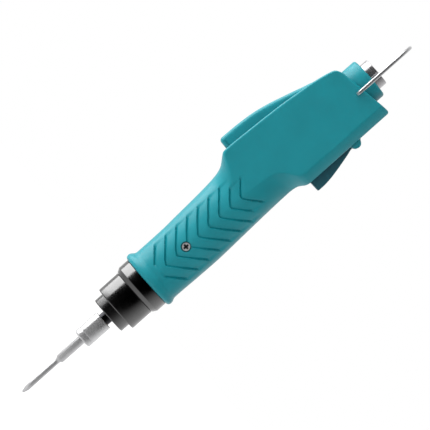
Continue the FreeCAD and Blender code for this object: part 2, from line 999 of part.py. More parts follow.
def tooth_flank(radius, pitch_radius, half_tooth):
    """The angle from a tooth's middle to its involute flank at a radius."""
    base = pitch_radius * math.cos(math.radians(s.pressure_angle.value))
    pitch_lean = math.acos(base / pitch_radius)
    lean = math.acos(min(base / radius, 1.0))
    return half_tooth + (math.tan(pitch_lean) - pitch_lean) - (math.tan(lean) - lean)


def number_of(size):
    """A count as a whole number."""
    return round(Size.of(size).value)


def gear_face(teeth, tip, root, thinning, turn):
    """A toothed disc: each flank is an arc through three points of the involute."""
    module = s.gear_module.value
    pitch_radius = module * teeth / 2
    half_tooth = math.pi / (2 * teeth) - thinning / (2 * pitch_radius)
    base = pitch_radius * math.cos(math.radians(s.pressure_angle.value))
    foot = max(root, base)

    def at(radius, angle):
        return Vector(radius * math.cos(angle), radius * math.sin(angle), 0)

    edges = []
    for number in range(teeth):
        middle = turn + number * 2 * math.pi / teeth
        after = middle + 2 * math.pi / teeth
        low, mid, high = (
            tooth_flank(r, pitch_radius, half_tooth) for r in (foot, (foot + tip) / 2, tip)
        )
        rise = [at(foot, middle - low), at((foot + tip) / 2, middle - mid), at(tip, middle - high)]
        fall = [at(tip, middle + high), at((foot + tip) / 2, middle + mid), at(foot, middle + low)]
        if root < foot:
            edges.append(Part.LineSegment(at(root, middle - low), rise[0]).toShape())
        edges.append(Part.Arc(*rise).toShape())
        edges.append(Part.Arc(rise[2], at(tip, middle), fall[0]).toShape())
        edges.append(Part.Arc(*fall).toShape())
        if root < foot:
            edges.append(Part.LineSegment(fall[2], at(root, middle + low)).toShape())
        edges.append(
            Part.Arc(
                at(root, middle + low),
                at(root, (middle + after) / 2),
                at(root, after - low),
            ).toShape()
        )
    return Part.Face(Part.Wire(edges))


def outer_gear(teeth, turn=0.0):
    """A gear with outward teeth, one gear width thick, standing on its front face."""
    module = s.gear_module.value
    pitch_radius = module * teeth / 2
    face = gear_face(
        teeth,
        pitch_radius + ADDENDUM * module,
        pitch_radius - DEDENDUM * module,
        s.gear_thinning.value,
        turn,
    )
    return face.extrude(Vector(0, 0, s.gear_width.value))


def bored(shape, radius):
    """The shape with a round hole along the axis."""
    return shape.cut(Part.makeCylinder(radius, s.gear_width.value * 4, Vector(0, 0, -s.gear_width.value)))


# The two planetary stages between the motor and the clutch.
def make_gears():
    module = s.gear_module.value
    teeth = number_of(ring_teeth)
    length = (ring_rear - ring_front).value
    hollow = gear_face(
        teeth,
        ring_radius.value + DEDENDUM * module,
        ring_radius.value - ADDENDUM * module,
        -s.gear_thinning.value,
        math.pi / teeth,
    ).extrude(Vector(0, 0, length))
    ring = Part.makeCylinder(gear_case.value, length).cut(hollow)
    keep(fixed("ring_gear", ring, z=ring_front), "ring_gear")

    planet = outer_gear(number_of(s.planet_teeth), math.pi / s.planet_teeth.value)
    planet = bored(planet, s.planet_pin_dia.value / 2 + s.slip.value)
    for stage, front in ((1, gears_1_front), (2, gears_2_front)):
        for number in range(number_of(s.planet_count)):
            x, y = on_orbit(number, s.planet_count)
            turn = Rotation(Vector(0, 0, 1), number * 360 / s.planet_count.value)
            name = f"planet_{stage}{'abcdef'[number]}"
            keep(fixed(name, planet, x, y, front, turn), name)

    sun = outer_gear(number_of(s.sun_teeth))
    pinion = bored(sun, s.shaft_dia.value / 2 + s.press.value)
    keep(fixed("motor_pinion", pinion, z=gears_1_front), "motor_pinion")

    carrier = turned(
        "first_carrier_disc",
        [
            (s.shaft_dia / 2 + s.slip, carrier_front),
            (s.carrier_dia / 2, carrier_front),
            (s.carrier_dia / 2, carrier_rear),
            (s.shaft_dia / 2 + s.slip, carrier_rear),
        ],
    )
    add_pins(carrier, "first_pin", carrier_rear, gears_1_rear + s.pin_end_play)
    stem = bored(sun, s.shaft_dia.value / 2 + s.slip.value)
    wheel = fixed("second_sun", stem, z=gears_2_front)
    neck = turned_ring(
        "second_sun_neck",
        s.shaft_dia / 2 + s.slip,
        sun_radius - s.gear_module * DEDENDUM,
        gears_2_rear - s.loose,
        carrier_front + s.loose,
    )
    keep(fused("first_carrier", [carrier, wheel, neck]), "first_carrier")

    cam = turned(
        "clutch_cam",
        [
            (s.spindle_tail_dia / 2 + s.slip, cam_front),
            (s.cam_dia / 2, cam_front),
            (s.cam_dia / 2, cam_rear),
            (s.spindle_tail_dia / 2 + s.slip, cam_rear),
        ],
    )
    add_pins(cam, "second_pin", cam_rear, gears_2_rear + s.pin_end_play)
    add_lobes(cam)
    keep(cam, "clutch_cam")


def add_pins(body, name, start, end):
    """Planet pins that stand on a carrier's rear face."""
    doc.recompute()
    drawing = new_sketch(body, f"{name}_outline", "XY", start - s.loose)
    circle(drawing, orbit_radius, 0, s.planet_pin_dia / 2)
    pin = padded(body, drawing, name, end - start + s.loose)
    doc.recompute()
    round_pattern(body, pin, f"{name}s", s.planet_count)


def add_lobes(body):
    """Ramps between the balls' seats on the cam's front face."""
    doc.recompute()
    half = s.lobe_angle / 2
    middle = 180 / s.ball_count

    def at(radius, angle):
        turn = math.radians(angle.value)
        return (
            Size(radius.value * math.cos(turn), f"({radius.text} * cos({angle.text}))"),
            Size(radius.value * math.sin(turn), f"({radius.text} * sin({angle.text}))"),
        )

    first, last = middle - half, middle + half
    lobe = new_sketch(body, "lobe_outline", "XY", cam_front + s.loose)
    outline(
        lobe,
        [
            at(s.lobe_inner, first),
            (*at(s.lobe_outer, first), s.lobe_outer),
            at(s.lobe_outer, last),
            (*at(s.lobe_inner, last), -s.lobe_inner),
        ],
    )
    ramp = padded(body, lobe, "lobe", s.lobe_rise - s.face_gap * 3 + s.loose, reverse=True)
    doc.recompute()
    round_pattern(body, ramp, "lobes", s.ball_count)


# The motor, its mount and its moving core.
def make_motor():
    can = s.motor_dia / 2
    room = can - s.motor_wall
    boss = s.motor_boss_dia / 2
    front_bush = s.shaft_bush_dia / 2
    boss_front = motor_front - s.motor_boss_len
    keep(
        turned(
            "motor_can",
            [
                (front_bush, boss_front),
                (boss, boss_front),
                (boss, motor_front),
                (can, motor_front),
                (can, motor_rear),
                (room, motor_rear),
                (room, motor_front + s.motor_wall),
                (front_bush, motor_front + s.motor_wall),
            ],
        ),
        "motor_can",
    )
    mount = turned_ring(
        "motor_mount", s.mount_hole_dia / 2, gear_case, mount_front, mount_rear
    )
    doc.recompute()
    hole = new_sketch(mount, "grip_screw_hole_outline", "XZ")
    circle(hole, 0, s.grip_screw_at, s.case_screw_dia / 2 + s.press)
    pocketed(mount, hole, "grip_screw_holes", s.flange_dia, midplane=True)
    bolt = new_sketch(mount, "motor_screw_hole_outline", "XY", mount_front)
    for side in (s.motor_screw_pitch / 2, -s.motor_screw_pitch / 2):
        circle(bolt, side, 0, s.motor_screw_dia / 2 + s.slip)
    pocketed(mount, bolt, "motor_screw_holes", s.mount_thick, reverse=True)
    seat = new_sketch(mount, "motor_screw_seat_outline", "XY", mount_front)
    for side in (s.motor_screw_pitch / 2, -s.motor_screw_pitch / 2):
        circle(seat, side, 0, s.motor_screw_dia + s.slip)
    pocketed(mount, seat, "motor_screw_seats", s.mount_thick / 3, reverse=True)
    keep(mount, "motor_mount")

    screws = []
    for number, side in enumerate((s.motor_screw_pitch / 2, -s.motor_screw_pitch / 2)):
        shank = rod(
            f"motor_screw_shank_{number}",
            s.motor_screw_dia / 2,
            s.mount_thick - s.press,
            side,
            0,
            mount_front + s.press / 2,
        )
        head_high = s.mount_thick / 3 - s.press * 2
        head = rod(f"motor_screw_head_{number}", s.motor_screw_dia, head_high, side, 0, mount_front)
        screws.append(fused(f"motor_screw_{number}", [shank, head]))
    keep(group("motor_screws", screws), "motor_screws")

    span = s.magnet_angle.value
    magnets = []
    for number, middle in enumerate((0, 180)):
        arc = Part.makeCylinder(
            (room - s.press).value, s.magnet_len.value, Vector(), Vector(0, 0, 1), span
        ).cut(
            Part.makeCylinder(
                (room - s.magnet_wall).value, s.magnet_len.value, Vector(), Vector(0, 0, 1), 360
            )
        )
        magnets.append(
            fixed(
                f"magnet_{number}",
                arc,
                z=magnet_middle - s.magnet_len / 2,
                turn=Rotation(Vector(0, 0, 1), middle - span / 2),
            )
        )
    keep(group("motor_magnets", magnets), "motor_magnets")

    core_radius = room - s.magnet_wall - s.air_gap
    core_front = magnet_middle - s.core_len / 2
    core_rear = core_front + s.core_len
    shaft = s.shaft_dia / 2
    core = turned_ring("rotor_core", shaft + s.press, core_radius, core_front, core_rear)
    doc.recompute()
    slot = new_sketch(core, "core_slot_outline", "XY", core_front)
    half = s.core_slot_width / 2
    outline(
        slot,
        [
            (core_radius - s.core_slot_depth, -half),
            (core_radius + s.loose, -half),
            (core_radius + s.loose, half),
            (core_radius - s.core_slot_depth, half),
        ],
    )
    gap = pocketed(core, slot, "core_slot", s.core_len, reverse=True)
    doc.recompute()
    round_pattern(core, gap, "core_slots", s.core_slots)
    keep(core, "rotor_core")

    ends = [
        turned_ring(
            "front_winding",
            shaft + s.loose,
            s.winding_dia / 2,
            core_front - s.winding_len,
            core_front - s.press,
        ),
        turned_ring(
            "rear_winding",
            shaft + s.loose,
            s.winding_dia / 2,
            core_rear + s.press,
            core_rear + s.winding_len,
        ),
    ]
    keep(group("rotor_windings", ends), "rotor_windings")
    collector_front = core_rear + s.winding_len + s.loose
    keep(
        turned_ring(
            "commutator",
            shaft + s.press,
            s.commutator_dia / 2,
            collector_front,
            collector_front + s.commutator_len,
        ),
        "commutator",
    )
    cap_rear = motor_rear + s.end_cap_thick + s.end_cap_hub_len
    shaft_front = gears_1_front - s.gear_space - s.carrier_thick / 2
    keep(
        turned(
            "motor_shaft",
            [(0, shaft_front), (shaft, shaft_front), (shaft, cap_rear - s.loose), (0, cap_rear - s.loose)],
        ),
        "motor_shaft",
    )
    bush = s.shaft_bush_dia / 2 - s.press
    bushes = [
        turned_ring("front_shaft_bush", shaft + s.slip, bush, boss_front, motor_front + s.motor_wall),
        turned_ring("rear_shaft_bush", shaft + s.slip, bush, motor_rear + s.loose, cap_rear - s.loose * 5),
    ]
    keep(group("motor_bushes", bushes), "motor_bushes")

    hub = s.end_cap_hub_dia / 2
    lip = s.shaft_dia / 2 + s.loose * 4
    cap = turned(
        "motor_end_cap",
        [
            (s.shaft_bush_dia / 2, motor_rear + s.press),
            (can, motor_rear + s.press),
            (can, motor_rear + s.end_cap_thick),
            (hub, motor_rear + s.end_cap_thick),
            (hub, cap_rear),
            (lip, cap_rear),
            (lip, cap_rear - s.loose * 4),
            (s.shaft_bush_dia / 2, cap_rear - s.loose * 4),
        ],
    )
    doc.recompute()
    arm = new_sketch(cap, "brush_arm_outline", "XY", motor_rear + s.loose)
    near = s.commutator_dia / 2 + s.brush_len + s.slip
    for side in (1, -1):
        corners = [
            (near, -s.brush_width),
            (near + s.brush_width, -s.brush_width),
            (near + s.brush_width, s.brush_width),
            (near, s.brush_width),
        ]
        outline(arm, [(x * side, y * side) for x, y in corners])
    padded(cap, arm, "brush_arms", motor_rear - collector_front, reverse=True)
    keep(cap, "motor_end_cap")
    brushes = []
    for number, side in enumerate((1, -1)):
        inner = s.commutator_dia / 2 + s.slip
        low, high = (inner, inner + s.brush_len) if side > 0 else (-inner - s.brush_len, -inner)
        brushes.append(
            block(
                f"brush_{number}",
                (low, -s.brush_width / 2, collector_front + s.loose * 5),
                (high, s.brush_width / 2, collector_front + s.commutator_len - s.loose * 5),
            )
        )
    keep(group("motor_brushes", brushes), "motor_brushes")


# The outer form of the housing: a lofted grip, a moulded head and a round tail.
def grip_form(name, inset):
    """The grip as a loft through four rings, smaller by an inset."""
    grip = new_body(name)
    stations = (
        ("neck", s.neck_at, s.neck_shift, s.neck_dia),
        ("palm", s.palm_at, s.palm_shift, s.palm_dia),
        ("heel", s.heel_at, s.heel_shift, s.heel_dia),
        ("root", s.root_at, s.root_shift, s.root_dia),
    )
    rings = []
    for ring_name, along, shift, size in stations:
        ring = new_sketch(grip, f"{name}_{ring_name}", "XY", along)
        rings.append(circle(ring, shift, 0, size / 2 - inset))
    loft = grip.newObject("PartDesign::AdditiveLoft", f"{name}_loft")
    loft.Profile = rings[0]
    loft.Sections = rings[1:]
    return grip


def chevrons():
    """The arrow shaped cuts along the grip, as deep as their floor allows."""
    body = new_body("chevron_cutter")
    body.AllowCompound = True
    drawing = new_sketch(body, "chevron_outline", "XZ")
    first = s.chevron_first
    bend = first + s.chevron_width / 3
    tip = first + s.chevron_run
    outline(
        drawing,
        [
            (0, first),
            (s.chevron_middle, bend),
            (s.chevron_arm, tip),
            (s.chevron_arm, tip + s.chevron_width),
            (s.chevron_middle, bend + s.chevron_width),
            (0, first + s.chevron_width),
            (-s.chevron_middle, bend + s.chevron_width),
            (-s.chevron_arm, tip + s.chevron_width),
            (-s.chevron_arm, tip),
            (-s.chevron_middle, bend),
        ],
    )
    arrow = padded(body, drawing, "chevron", s.lip_dia * 2, midplane=True)
    doc.recompute()
    pattern = body.newObject("PartDesign::LinearPattern", "chevron_row")
    pattern.Originals = [arrow]
    axis = [f for f in body.Origin.OriginFeatures if f.Role == "Z_Axis"][0]
    pattern.Direction = (axis, [""])
    pattern.Length = (s.chevron_pitch * (s.chevron_count - 1)).value
    tie(pattern, "Length", s.chevron_pitch * (s.chevron_count - 1))
    pattern.Occurrences = number_of(s.chevron_count)
    tie(pattern, "Occurrences", s.chevron_count)
    body.Tip = pattern
    return cut("chevron_cuts", body, grip_form("chevron_floor", s.chevron_depth))


def head_form(name, inset, start, end):
    """The head where its side view, plan and section meet, smaller by an inset."""
    side = new_body(f"{name}_side")
    drawing = new_sketch(side, f"{name}_side_outline", "XZ")
    front = s.shoulder_foot_at - s.belly_corner
    outline(
        drawing,
        [
            (0, front),
            (inset - s.shoulder_foot, front),
            (inset - s.shoulder_foot, s.shoulder_foot_at, -s.shoulder_hollow),
            (inset - s.shoulder_top, s.shoulder_top_at + inset, s.brow_round),
            (inset - s.brow, s.brow_at + inset),
            (inset - s.crown, s.crown_at),
            (inset - s.tail_top, s.tail_top_at - inset, s.brow_round),
            (inset - s.tail_corner, s.tail_corner_at - inset),
            (s.belly - inset, s.tail_foot_at - inset),
            (s.belly - inset, s.belly_step_end + inset, s.belly),
            (s.belly_in - inset, s.belly_step_at + inset),
            (0, s.belly_step_at - s.belly_corner),
        ],
    )
    padded(side, drawing, f"{name}_side_pad", s.head_width + s.wall, midplane=True)

    plan = new_body(f"{name}_plan")
    half = s.head_width / 2 - inset
    tail = s.tail_width / 2 - inset
    nose = s.cheek_width / 2 - inset
    cheek_from = s.shoulder_foot_at - s.belly_corner * 2
    run, rise = s.cheek_end_at - cheek_from, half - nose
    cheek = (run * run + rise * rise) / (rise * 2)
    drawing = new_sketch(plan, f"{name}_plan_outline", "YZ")
    outline(
        drawing,
        [
            (nose, cheek_from, cheek),
            (half, s.cheek_end_at),
            (half, s.waist_at),
            (tail, s.tail_top_at),
            (tail, s.tail_foot_at + s.belly_corner),
            (-tail, s.tail_foot_at + s.belly_corner),
            (-tail, s.tail_top_at),
            (-half, s.waist_at),
            (-half, s.cheek_end_at, cheek),
            (-nose, cheek_from),
        ],
    )
    padded(plan, drawing, f"{name}_plan_pad", s.lever_rise * 2, midplane=True)

    section = new_body(f"{name}_section")
    drawing = new_sketch(section, f"{name}_section_outline", "XY", start)
    corner = s.belly_corner - inset
    top = -s.lever_rise
    low = s.belly - inset
    outline(
        drawing,
        [
            (top, -half),
            (low - corner, -half, corner),
            (low, -half + corner),
            (low, half - corner, corner),
            (low - corner, half),
            (top, half),
        ],
    )
    padded(section, drawing, f"{name}_section_pad", Size.of(end) - start)
    return common(name, [side, plan, section])


def across(name, radius, along, up, start, end):
    """A cylinder that lies along Y from start to end."""
    length = Size.of(end) - start
    return rod(name, radius, length, up, end, along, ACROSS)


def make_housing():
    """Both shells, from one closed form that is hollowed, fitted out and parted."""
    grip = cut("ribbed_grip", grip_form("grip", 0), chevrons())
    mouth = s.mouth_dia / 2
    lip = s.lip_dia / 2
    neck = s.neck_dia / 2 + s.neck_shift
    collar = turned(
        "lip_form",
        [
            (0, 0),
            (mouth, 0, s.lip_round),
            (lip, s.lip_at, s.lip_fall),
            ((lip + neck) / 2, (s.lip_at + s.neck_at) / 2, -s.lip_fall),
            (neck, s.neck_at + s.loose),
            (0, s.neck_at + s.loose),
        ],
    )
    head = head_form("head", 0, s.shoulder_foot_at - s.belly_corner, s.tail_foot_at + s.wall)
    doc.recompute()
    head = rounded("rounded_head", head, s.rim_round, upper_rim)
    body = fused("housing_form", [grip, collar, head])

    half = s.head_width / 2
    eye = s.lever_eye_dia / 2
    reverser_eye = s.reverser_eye_dia / 2
    slot_front = s.lever_front_at - s.lever_play * 2
    slot_rear = s.lever_pivot_at + eye + s.lever_play
    reverser_slot_rear = s.knuckle_at + reverser_eye + s.lever_play
    hollows = [
        motor_bore(),
        head_form("hollow", s.wall, s.cavity_front, s.tail_wall_at),
        block(
            "start_slot",
            (-s.lever_rise, -lever_slot, slot_front),
            (-s.lever_pivot_up + s.wall, lever_slot, slot_rear),
        ),
        block(
            "reverser_slot",
            (s.belly_in - s.wall, -reverser_slot, s.reverser_front_at - s.lever_play),
            (s.reverser_rise, reverser_slot, reverser_slot_rear),
        ),
    ]
    hollow = fused("hollows", hollows)
    shell = cut("hollow_housing", body, hollow)

    deep = half
    bosses = []
    for name, along, up in (
        ("front", s.front_boss_at, s.front_boss_up),
        ("rear", s.rear_boss_at, s.rear_boss_up),
    ):
        bosses.append(across(f"{name}_boss", s.case_boss_dia / 2, along, up, -deep, deep))
    for number, (side, end) in enumerate(((lever_slot, deep), (-deep, -lever_slot))):
        bosses.append(
            across(
                f"lever_pin_boss_{number}",
                s.pin_dia / 2 + s.lever_wall,
                s.lever_pivot_at,
                -s.lever_pivot_up,
                side,
                end,
            )
        )
    for number, (along, up) in enumerate(board_screw_places()):
        bosses.append(
            across(
                f"board_boss_{number}",
                s.board_boss_dia / 2,
                along,
                up,
                s.board_face + s.board_thick,
                deep,
            )
        )
    bosses.append(
        block(
            "spring_seat",
            (-s.spring_seat_up, -s.spring_dia, s.lever_spring_at - s.spring_dia),
            (-s.spring_seat_up + s.wall / 2, deep, s.lever_spring_at + s.spring_dia),
        )
    )
    inner = common("inner_bosses", [fused("bosses", bosses), head])
    ears = []
    for number, side in enumerate((reverser_slot, -reverser_slot - s.knuckle_width)):
        ears.append(
            across(
                f"knuckle_{number}",
                s.knuckle_dia / 2,
                s.knuckle_at,
                s.knuckle_up,
                side,
                side + s.knuckle_width,
            )
        )
    whole = fused("fitted_housing", [shell, inner, *ears])

    tail = rod(
        "tail_hole",
        s.boss_dia / 2 + s.press,
        s.boss_end - s.collar_seat_at + s.wall,
        -s.boss_shift,
        0,
        s.collar_seat_at,
    )
    spigot = rod(
        "spigot_hole",
        s.collar_spigot_dia / 2 + s.press,
        s.collar_seat_at - s.tail_wall_at + s.wall,
        -s.boss_shift,
        0,
        s.tail_wall_at - s.wall / 2,
    )
    tools = [tail, spigot]
    bail_end = s.bail_half - s.bail_tail - s.loose
    for number, (first, last) in enumerate(((bail_end, half), (-half, -bail_end))):
        tools.append(
            across(f"bail_hole_{number}", s.bail_wire / 2 + s.slip, s.bail_pivot_at, 0, first, last)
        )
    reach = s.lever_pin_len / 2 + s.loose
    pin = s.pin_dia / 2 + s.press
    tools.append(across("lever_pin_hole", pin, s.lever_pivot_at, -s.lever_pivot_up, -reach, reach))
    reach = s.reverser_pin_len / 2 + s.loose
    tools.append(
        across("reverser_pin_hole", s.pin_dia / 2 + s.press, s.knuckle_at, s.knuckle_up, -reach, reach)
    )
    for name, along, up, seat in case_screw_places():
        shank = s.case_screw_dia / 2
        tools.append(
            across(f"{name}_case_hole", shank + s.press, along, up, seat - s.case_screw_len, seat)
        )
        head = s.case_screw_head / 2 + s.loose
        tools.append(across(f"{name}_case_head_hole", head, along, up, seat, half + s.wall))
    for number, (along, up) in enumerate(board_screw_places()):
        start = s.board_face + s.board_thick
        tools.append(
            across(
                f"board_screw_hole_{number}",
                s.board_screw_dia / 2 + s.press,
                along,
                up,
                start - s.loose,
                start + s.board_screw_len,
            )
        )
    seat = grip_screw_seat()
    for number, (first, last, head_first, head_last) in enumerate(
        ((0, seat, seat, half + s.wall), (-seat, 0, -half - s.wall, -seat))
    ):
        shank = s.case_screw_dia / 2 + s.press
        tools.append(across(f"grip_screw_hole_{number}", shank, s.grip_screw_at, 0, first, last))
        tools.append(
            across(
                f"grip_screw_head_hole_{number}",
                s.grip_screw_head / 2 + s.grip_screw_room,
                s.grip_screw_at,
                0,
                head_first,
                head_last,
            )
        )
    drilled = cut("drilled_housing", whole, fused("drills", tools))
    big = s.lip_dia * 2
    near_side = block("near_half", (-big, -big, -s.loose), (big, 0, s.boss_end + s.wall))
    far_side = block("far_half", (-big, 0, -s.loose), (big, big, s.boss_end + s.wall))
    keep(common("shell_near", [drilled, near_side]), "shell_near")
    keep(common("shell_far", [drilled, far_side]), "shell_far")


def motor_bore():
    """The grip's bore: it holds the barrel's skirt, and three ribs hold the motor."""
    skirt = s.skirt_dia / 2 + s.press
    rib = s.motor_dia / 2 + s.press
    room = s.motor_dia / 2 + s.motor_room
    profile = [(0, -s.wall), (skirt, -s.wall), (skirt, mount_rear + s.loose)]
    for share in (0.12, 0.5, 0.88):
        middle = motor_front + s.motor_len * share
        profile += [
            (room, middle - s.rib_thick / 2),
            (rib, middle - s.rib_thick / 2),
            (rib, middle + s.rib_thick / 2),
            (room, middle + s.rib_thick / 2),
        ]
    profile.insert(3, (room, mount_rear + s.loose))
    profile += [(room, s.cavity_front + s.wall), (0, s.cavity_front + s.wall)]
    return turned("motor_bore", profile)


def upper_rim(edge):
    """Whether an edge is one of the long top edges of the head's flat sides."""
    box = edge.BoundBox
    limit = s.tail_width.value / 2 - 0.5
    start, end = box.ZMin + hang.value, box.ZMax + hang.value
    sideways = box.YMin > limit or box.YMax < -limit
    behind = start > s.shoulder_top_at.value - 0.5 and end < s.tail_corner_at.value + 0.5
    return sideways and behind and box.XMax < 0.5 - s.tail_corner.value and box.ZLength > 1


def rounded(name, base, radius, chosen):
    """Rounds the edges of a solid that a test picks out."""
    item = doc.addObject("Part::Fillet", name)
    item.Base = base
    item.Edges = [
        (number, radius.value, radius.value)
        for number, edge in enumerate(base.Shape.Edges, start=1)
        if chosen(edge)
    ]
    return item


def case_screw_places():
    """Name, place along and across, head seat for the two screws that close the head."""
    return (
        ("front", s.front_boss_at, s.front_boss_up, s.front_screw_seat),
        ("rear", s.rear_boss_at, s.rear_boss_up, s.rear_screw_seat),
    )


def board_screw_places():
    """Where the two screws hold the board to the far shell."""
    inset = s.board_boss_dia
    return (
        (s.board_from + inset, -s.board_up + inset / 2 + s.loose),
        (s.board_to - inset, s.board_low - inset / 2 - s.loose),
    )


def grip_screw_seat():
    """How far out the heads of the grip screws bear."""
    return s.palm_dia / 2 - s.grip_screw_sink - s.grip_screw_head_high


# Screws: a round head with a cross recess and a plain shank.
def screw(name, shank, length, head, head_high, along, up, seat, side, cross=True):
    """A pan head screw along Y; side +1 puts its head towards +Y."""
    seat, up, along = Size.of(seat), Size.of(up), Size.of(along)
    if side > 0:
        stem = across(f"{name}_stem", shank / 2, along, up, seat - length, seat)
        cap = across(f"{name}_head", head / 2, along, up, seat, seat + head_high)
        first, last = seat + head_high / 2, seat + head_high * 2
    else:
        stem = across(f"{name}_stem", shank / 2, along, up, -seat, -seat + length)
        cap = across(f"{name}_head", head / 2, along, up, -seat - head_high, -seat)
        first, last = -seat - head_high * 2, -seat - head_high / 2
    whole = fused(f"{name}_blank", [stem, cap])
    if not cross:
        return whole
    bar, wide = head / 10, head / 3.4
    recess = [
        block(f"{name}_cross_a", (up - wide, first, along - bar), (up + wide, last, along + bar)),
        block(f"{name}_cross_b", (up - bar, first, along - wide), (up + bar, last, along + wide)),
    ]
    return cut(name, whole, fused(f"{name}_cross", recess))


def make_screws():
    """The grip screws on both sides, the head's two screws and the board's two."""
    seat = grip_screw_seat()
    grips = [
        screw(
            f"grip_screw_{number}",
            s.case_screw_dia,
            s.grip_screw_len,
            s.grip_screw_head,
            s.grip_screw_head_high,
            s.grip_screw_at,
            0,
            seat,
            side,
        )
        for number, side in enumerate((1, -1))
    ]
    keep(group("grip_screws", grips), "grip_screws")
    cases = [
        screw(
            f"{name}_case_screw",
            s.case_screw_dia,
            s.case_screw_len,
            s.case_screw_head,
            s.case_screw_head_high,
            along,
            up,
            head_seat,
            1,
        )
        for name, along, up, head_seat in case_screw_places()
    ]
    keep(group("case_screws", cases), "case_screws")
    boards = [
        screw(
            f"board_screw_{number}",
            s.board_screw_dia,
            s.board_screw_len + s.board_thick - s.loose,
            s.board_screw_dia * 2,
            s.board_screw_dia / 2,
            along,
            up,
            -s.board_face,
            -1,
        )
        for number, (along, up) in enumerate(board_screw_places())
    ]
    keep(group("board_screws", boards), "board_screws")


# The two levers, each a hollow moulding that turns on a pin.
def top_edges(width, limit):
    """A test for a lever's long outer edges on the side away from the housing."""

    def chosen(edge):
        box = edge.BoundBox
        flat = box.YLength < 0.01 and abs(abs(box.Center.y) - width.value / 2) < 0.01
        return flat and limit(box)

    return chosen


